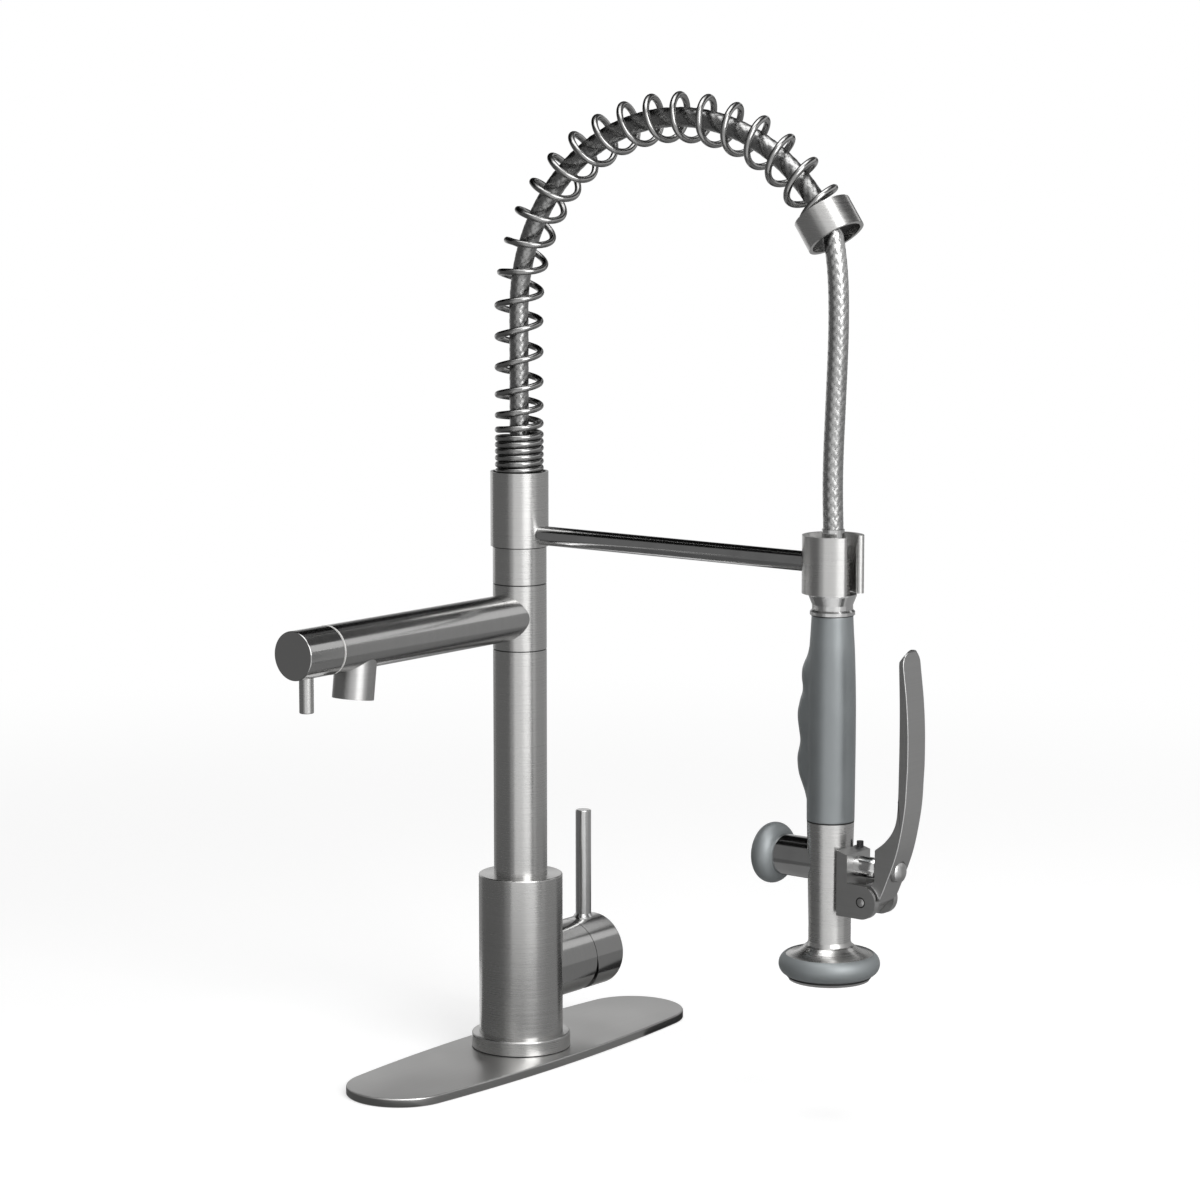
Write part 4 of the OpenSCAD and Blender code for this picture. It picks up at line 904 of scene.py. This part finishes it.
class MakeSeams(bpy.types.Operator):
    """Make the thin rings between pieces, and the ends of the trigger's pin; the dark rings are
    painted shade in the gaps between pieces.
    """
    bl_idname = "faucet.make_seams"
    bl_label = "Parting rings"

    def execute(self, context):
        up, sprayer_y = (0, 0, 1), -REACH / MM
        # a pale washer, and partly a painted highlight: it is brought flush with the knob so that
        # it shows as a bright line at the seam
        bead = [(11, 0), (12.25, 0), (12.42, 0.12), (12.42, 0.42), (12.25, 0.55), (11, 0.55)]
        turned("knob_highlight_bead", bead, (-148.72, 0, 235.95), (-1, 0, 0),
               "spout", "pale_plastic", "pale_plastic", "knob_washer")
        dome = [(0, -0.05), (2, -0.05), (2, 0.05), (1.8, 0.16), (0, 0.2)]
        for side, word in ((-1, "left"), (1, "right")):
            foot, out = (side * 10.15, PIVOT[0] / MM, PIVOT[1] / MM), (side, 0, 0)
            # painted shade: a dark ring round each pin end stands for the shade in its gap
            turned("pin_gap_shade_" + word, band(2.2, 2.65, -0.1, 0.03), foot, out,
                   "sprayer", "black_rubber", "seal", sides=48)
            turned("pin_end_" + word, dome, foot, out, "sprayer", "nickel", "lever", sides=48)
        # painted shade: dark rings in the gaps at the neck, the spray face and the boss stand for
        # the shade there
        turned("neck_gap_shade", band(9.8, 10.45, 0, 0.5), (0, sprayer_y, 254.05), up,
               "sprayer", "black_rubber", "seal")
        turned("face_gap_shade", band(20.2, 20.95, 0, 0.9), (0, sprayer_y, 73), up,
               "sprayer", "black_rubber", "seal")
        turned("boss_gap_shade", band(17, 18.9, 0, 0.3), (40.95, 0, 45.6), (1, 0, 0),
               "base", "black_rubber", "seal")
        return {"FINISHED"}


class FinishMetal(bpy.types.Operator):
    """Give every metal node its brushed or polished finish and soft edges"""
    bl_idname = "faucet.finish_metal"
    bl_label = "Metal finishes"

    LOOKS = {
        "nozzle": ["outlet_nozzle"],
        "ring": ["dock_ring"],
        "nickel": ["base_ring", "riser_tube", "riser_spacer", "arm_collar",
                   "spring_cap", "sprayer_body", "knob_pin", "hose_nut",
                   "spring_anchor"],
        "nickel_body": ["valve_body"],
        "plate": ["deck_plate"],
        "spout": ["spout_tube"],
        "satin": ["spout_knob"],
        "cap": ["handle_cap"],
        "rod": ["handle_rod", "neck_collar"],
        "lever": ["lever_bracket", "trigger_lever", "pivot_pin", "lever_screw"],
        "chrome": ["spray_face", "cap_screw", "hose_ferrule", "stem_pin", "valve_spring"],
        "stem": ["plunger"],
        "black_chrome": ["arm_rod", "valve_cap"],
        "wire": ["support_spring"],
        "braid": ["drop_hose"],
        "braid_inside": ["arch_hose"],
        "brass": ["riser_stem", "stem_nut", "cartridge_nut", "spout_valve", "spout_rotor",
                  "lever_stem", "handle_tube"],
    }
    # millimetres
    SOFT_EDGES = {"base_ring": 0.35, "valve_body": 0.4, "riser_spacer": 0.15,
                  "riser_tube": 0.15, "spout_knob": 0.2, "arm_collar": 0.2,
                  "spring_cap": 0.25, "lever_bracket": 0.35, "outlet_nozzle": 0.2,
                  "dock_ring": 0.25}

    def execute(self, context):
        for look, names in self.LOOKS.items():
            for name in names:
                dress(NODES[name], look)
        for name, width in self.SOFT_EDGES.items():
            round_edges(NODES[name], width * MM, 2)
        return {"FINISHED"}


class FinishSoft(bpy.types.Operator):
    """Give the rubber and plastic nodes their moulded skins"""
    bl_idname = "faucet.finish_soft"
    bl_label = "Rubber and plastic"

    LOOKS = {
        "rubber": ["grip"],
        "bumper": ["spray_bumper", "side_bumper"],
        "seal": ["base_seal", "stem_rings", "plunger_rings"],
        "black_plastic": ["swivel_washers", "bracket_stud", "cap_grommet", "aerator",
                          "cartridge_rotor"],
        "pale_plastic": ["deck_liner", "cartridge_housing", "knob_washer"],
    }

    def execute(self, context):
        for look, names in self.LOOKS.items():
            for name in names:
                dress(NODES[name], look)
        bare = [n for n, o in NODES.items() if not o.data.materials
                or o.data.materials[0] not in MADE.values()]
        if bare:
            raise RuntimeError(f"nodes without a finish: {bare}")
        return {"FINISHED"}


class MakeStudio(bpy.types.Operator):
    """Set up the pale floor, the soft lights and the dark cards that metal mirrors"""
    bl_idname = "faucet.make_studio"
    bl_label = "Studio"

    @staticmethod
    def prop(context, name, look, verts, faces):
        """A stage piece with a material of its own, and the nodes of that."""
        mesh = bpy.data.meshes.new(name)
        mesh.from_pydata(verts, [], faces)
        thing = bpy.data.objects.new(name, mesh)
        context.scene.collection.objects.link(thing)
        material = bpy.data.materials.new(look)
        mesh.materials.append(material)
        return thing, Graph(material)

    def floor(self, context):
        """Grey paper that glows for the camera and mirrors, and turns white further out."""
        half, z, brightness, near, far = 8, -0.0003, 0.62, 0.35, 1.3
        corners = [(-half, -half, z), (half, -half, z), (half, half, z), (-half, half, z)]
        g = self.prop(context, "floor", "floor_paper", corners, [(0, 1, 2, 3)])[1]
        paint = g.add("ShaderNodeBsdfDiffuse")
        paint.inputs["Color"].default_value = (0.5, 0.5, 0.5, 1)
        glow = g.add("ShaderNodeEmission")
        g.join(*g.math("MULTIPLY", g.seen(), brightness), glow, "Strength")
        both = g.add("ShaderNodeAddShader")
        g.feed(both, 0, (paint, 0), (glow, 0))
        fade = g.between(g.vector("LENGTH", (g.add("ShaderNodeTexCoord"), "Object")),
                         0, 1, near, far)
        fade[0].interpolation_type = "SMOOTHSTEP"
        white = g.add("ShaderNodeEmission")
        mix = g.add("ShaderNodeMixShader")
        g.feed(mix, 0, g.math("MULTIPLY", fade, g.seen()), (both, 0), (white, 0))
        g.join(mix, 0, g.out, "Surface")

    # name, first and last degree round the faucet, brightness, profile of (radius, height)
    CARDS = (
        ("left_wall", 133, 176, 0.2, ((0.45, 0), (0.8, 0), (0.8, 1.5))),
        ("left_low", 88, 133, 0.2, ((0.45, 0), (0.8, 0), (0.8, 0.62))),
        ("left_edge", 176, 193, 0.5, ((0.45, 0), (0.8, 0), (0.8, 1.5))),
        ("left_floor", 88, 193, 0.14, ((0.03, 0), (0.45, 0))),
        ("back_high", 20, 133, 0.005, ((0.8, 0.62), (0.8, 2.4))),
        ("back_floor", 24, 88, 0.3, ((0.2, 0), (0.8, 0), (0.8, 0.14))),
        ("back_wall", 24, 88, 0.85, ((0.8, 0.14), (0.8, 0.4))),
        ("back_upper", 24, 88, 0.3, ((0.8, 0.4), (0.8, 0.62))),
        ("front_floor", 193, 262, 0.28, ((0.03, 0), (0.3, 0))),
        ("right_floor", 262, 335, 0.3, ((0.03, 0), (0.45, 0))),
        ("right_back_floor", 335, 384, 0.04, ((0.03, 0), (0.45, 0))),
        ("right_edge", 262, 288, 0.7, ((0.45, 0), (0.8, 0), (0.8, 0.41))),
        ("right_wall", 288, 384, 0.42, ((0.45, 0), (0.8, 0), (0.8, 0.41))),
        ("right_back", 340, 384, 0.1, ((0.8, 0.41), (0.8, 0.66))),
        ("right_high", 262, 384, 0.1, ((0.8, 0.76), (0.8, 1.5))),
    )

    def card(self, context, name, start, stop, shade, profile):
        """A curved card round the faucet that only mirrors see, and its part of the floor."""
        steps, row, drop = 16, len(profile), 0.0001
        verts, faces = [], []
        for i in range(steps + 1):
            a = math.radians(start + (stop - start) * i / steps)
            verts += [(r * math.cos(a), r * math.sin(a), z - drop) for r, z in profile]
        for i in range(steps):
            for k in range(i * row, i * row + row - 1):
                faces.append((k, k + row, k + row + 1, k + 1))
        card, g = self.prop(context, name, name, verts, faces)
        glow = g.add("ShaderNodeEmission")
        glow.inputs["Strength"].default_value = shade
        g.join(glow, 0, g.out, "Surface")
        card.visible_camera = card.visible_shadow = card.visible_diffuse = False

    def lamp(self, context, name, place, aim, wide, tall, power):
        """A soft rectangular lamp that faces its aim."""
        data = bpy.data.lights.new(name, "AREA")
        data.shape, data.size, data.size_y, data.energy = "RECTANGLE", wide, tall, power
        lamp = bpy.data.objects.new(name, data)
        context.scene.collection.objects.link(lamp)
        lamp.location = place
        lamp.rotation_mode = "QUATERNION"
        lamp.rotation_quaternion = (Vector(aim) - Vector(place)).to_track_quat("-Z", "Y")

    def execute(self, context):
        s = studio()
        self.floor(context)
        for card in self.CARDS:
            self.card(context, *card)
        self.lamp(context, "key", (-0.5, -1.5, 1.0), (0, -0.05, 0.25), 1.1, 1.4, s.key)
        self.lamp(context, "top", (-0.1, -0.25, 1.5), (-0.05, -0.1, 0.2), 0.9, 0.9, s.top)
        world = bpy.data.worlds.new("studio_room")
        context.scene.world = world
        g = Graph(world, "ShaderNodeOutputWorld")
        back = g.add("ShaderNodeBackground")
        back.inputs["Color"].default_value = (1, 1, 1, 1)
        g.join(*g.between(g.seen(), s.sky, 1, 0, 1), back, "Strength")
        g.join(back, 0, g.out, "Surface")
        context.scene.view_settings.view_transform = "Standard"
        return {"FINISHED"}


class FaucetPanel(bpy.types.Panel):
    """Steps that dress the faucet"""
    bl_idname = "VIEW3D_PT_faucet"
    bl_label = "Spring kitchen faucet"
    bl_space_type = "VIEW_3D"
    bl_region_type = "UI"
    bl_category = "Faucet"

    def draw(self, context):
        for group in ("faucet_sizes", "faucet_finishes", "faucet_studio"):
            values = getattr(context.scene, group)
            box = self.layout.box()
            for key in values.__annotations__:
                box.prop(values, key)
        for step in STEPS:
            self.layout.operator(step.bl_idname)


GROUPS = (FaucetFinishes, FaucetSizes, FaucetStudio)
STEPS = (MakeCamera, MakeDropHose, MakeArchHose, MakeSpring, MakeReturnSpring, MakeDeckPlate,
         MakeGrip, MakeLever, MakeSeams, FinishMetal, FinishSoft, MakeStudio)


def register():
    for thing in GROUPS + STEPS + (FaucetPanel,):
        bpy.utils.register_class(thing)
    bpy.types.Scene.faucet_finishes = PointerProperty(type=FaucetFinishes)
    bpy.types.Scene.faucet_sizes = PointerProperty(type=FaucetSizes)
    bpy.types.Scene.faucet_studio = PointerProperty(type=FaucetStudio)


def unregister():
    del bpy.types.Scene.faucet_finishes
    del bpy.types.Scene.faucet_sizes
    del bpy.types.Scene.faucet_studio
    for thing in reversed(GROUPS + STEPS + (FaucetPanel,)):
        bpy.utils.unregister_class(thing)


def main():
    register()
    bpy.ops.faucet.make_camera()
    bpy.ops.faucet.make_drop_hose()
    bpy.ops.faucet.make_arch_hose()
    bpy.ops.faucet.make_spring()
    bpy.ops.faucet.make_return_spring()
    bpy.ops.faucet.make_deck_plate()
    bpy.ops.faucet.make_grip()
    bpy.ops.faucet.make_lever()
    bpy.ops.faucet.make_seams()
    bpy.ops.faucet.finish_metal()
    bpy.ops.faucet.finish_soft()
    bpy.ops.faucet.make_studio()


if __name__ == "__main__":
    main()
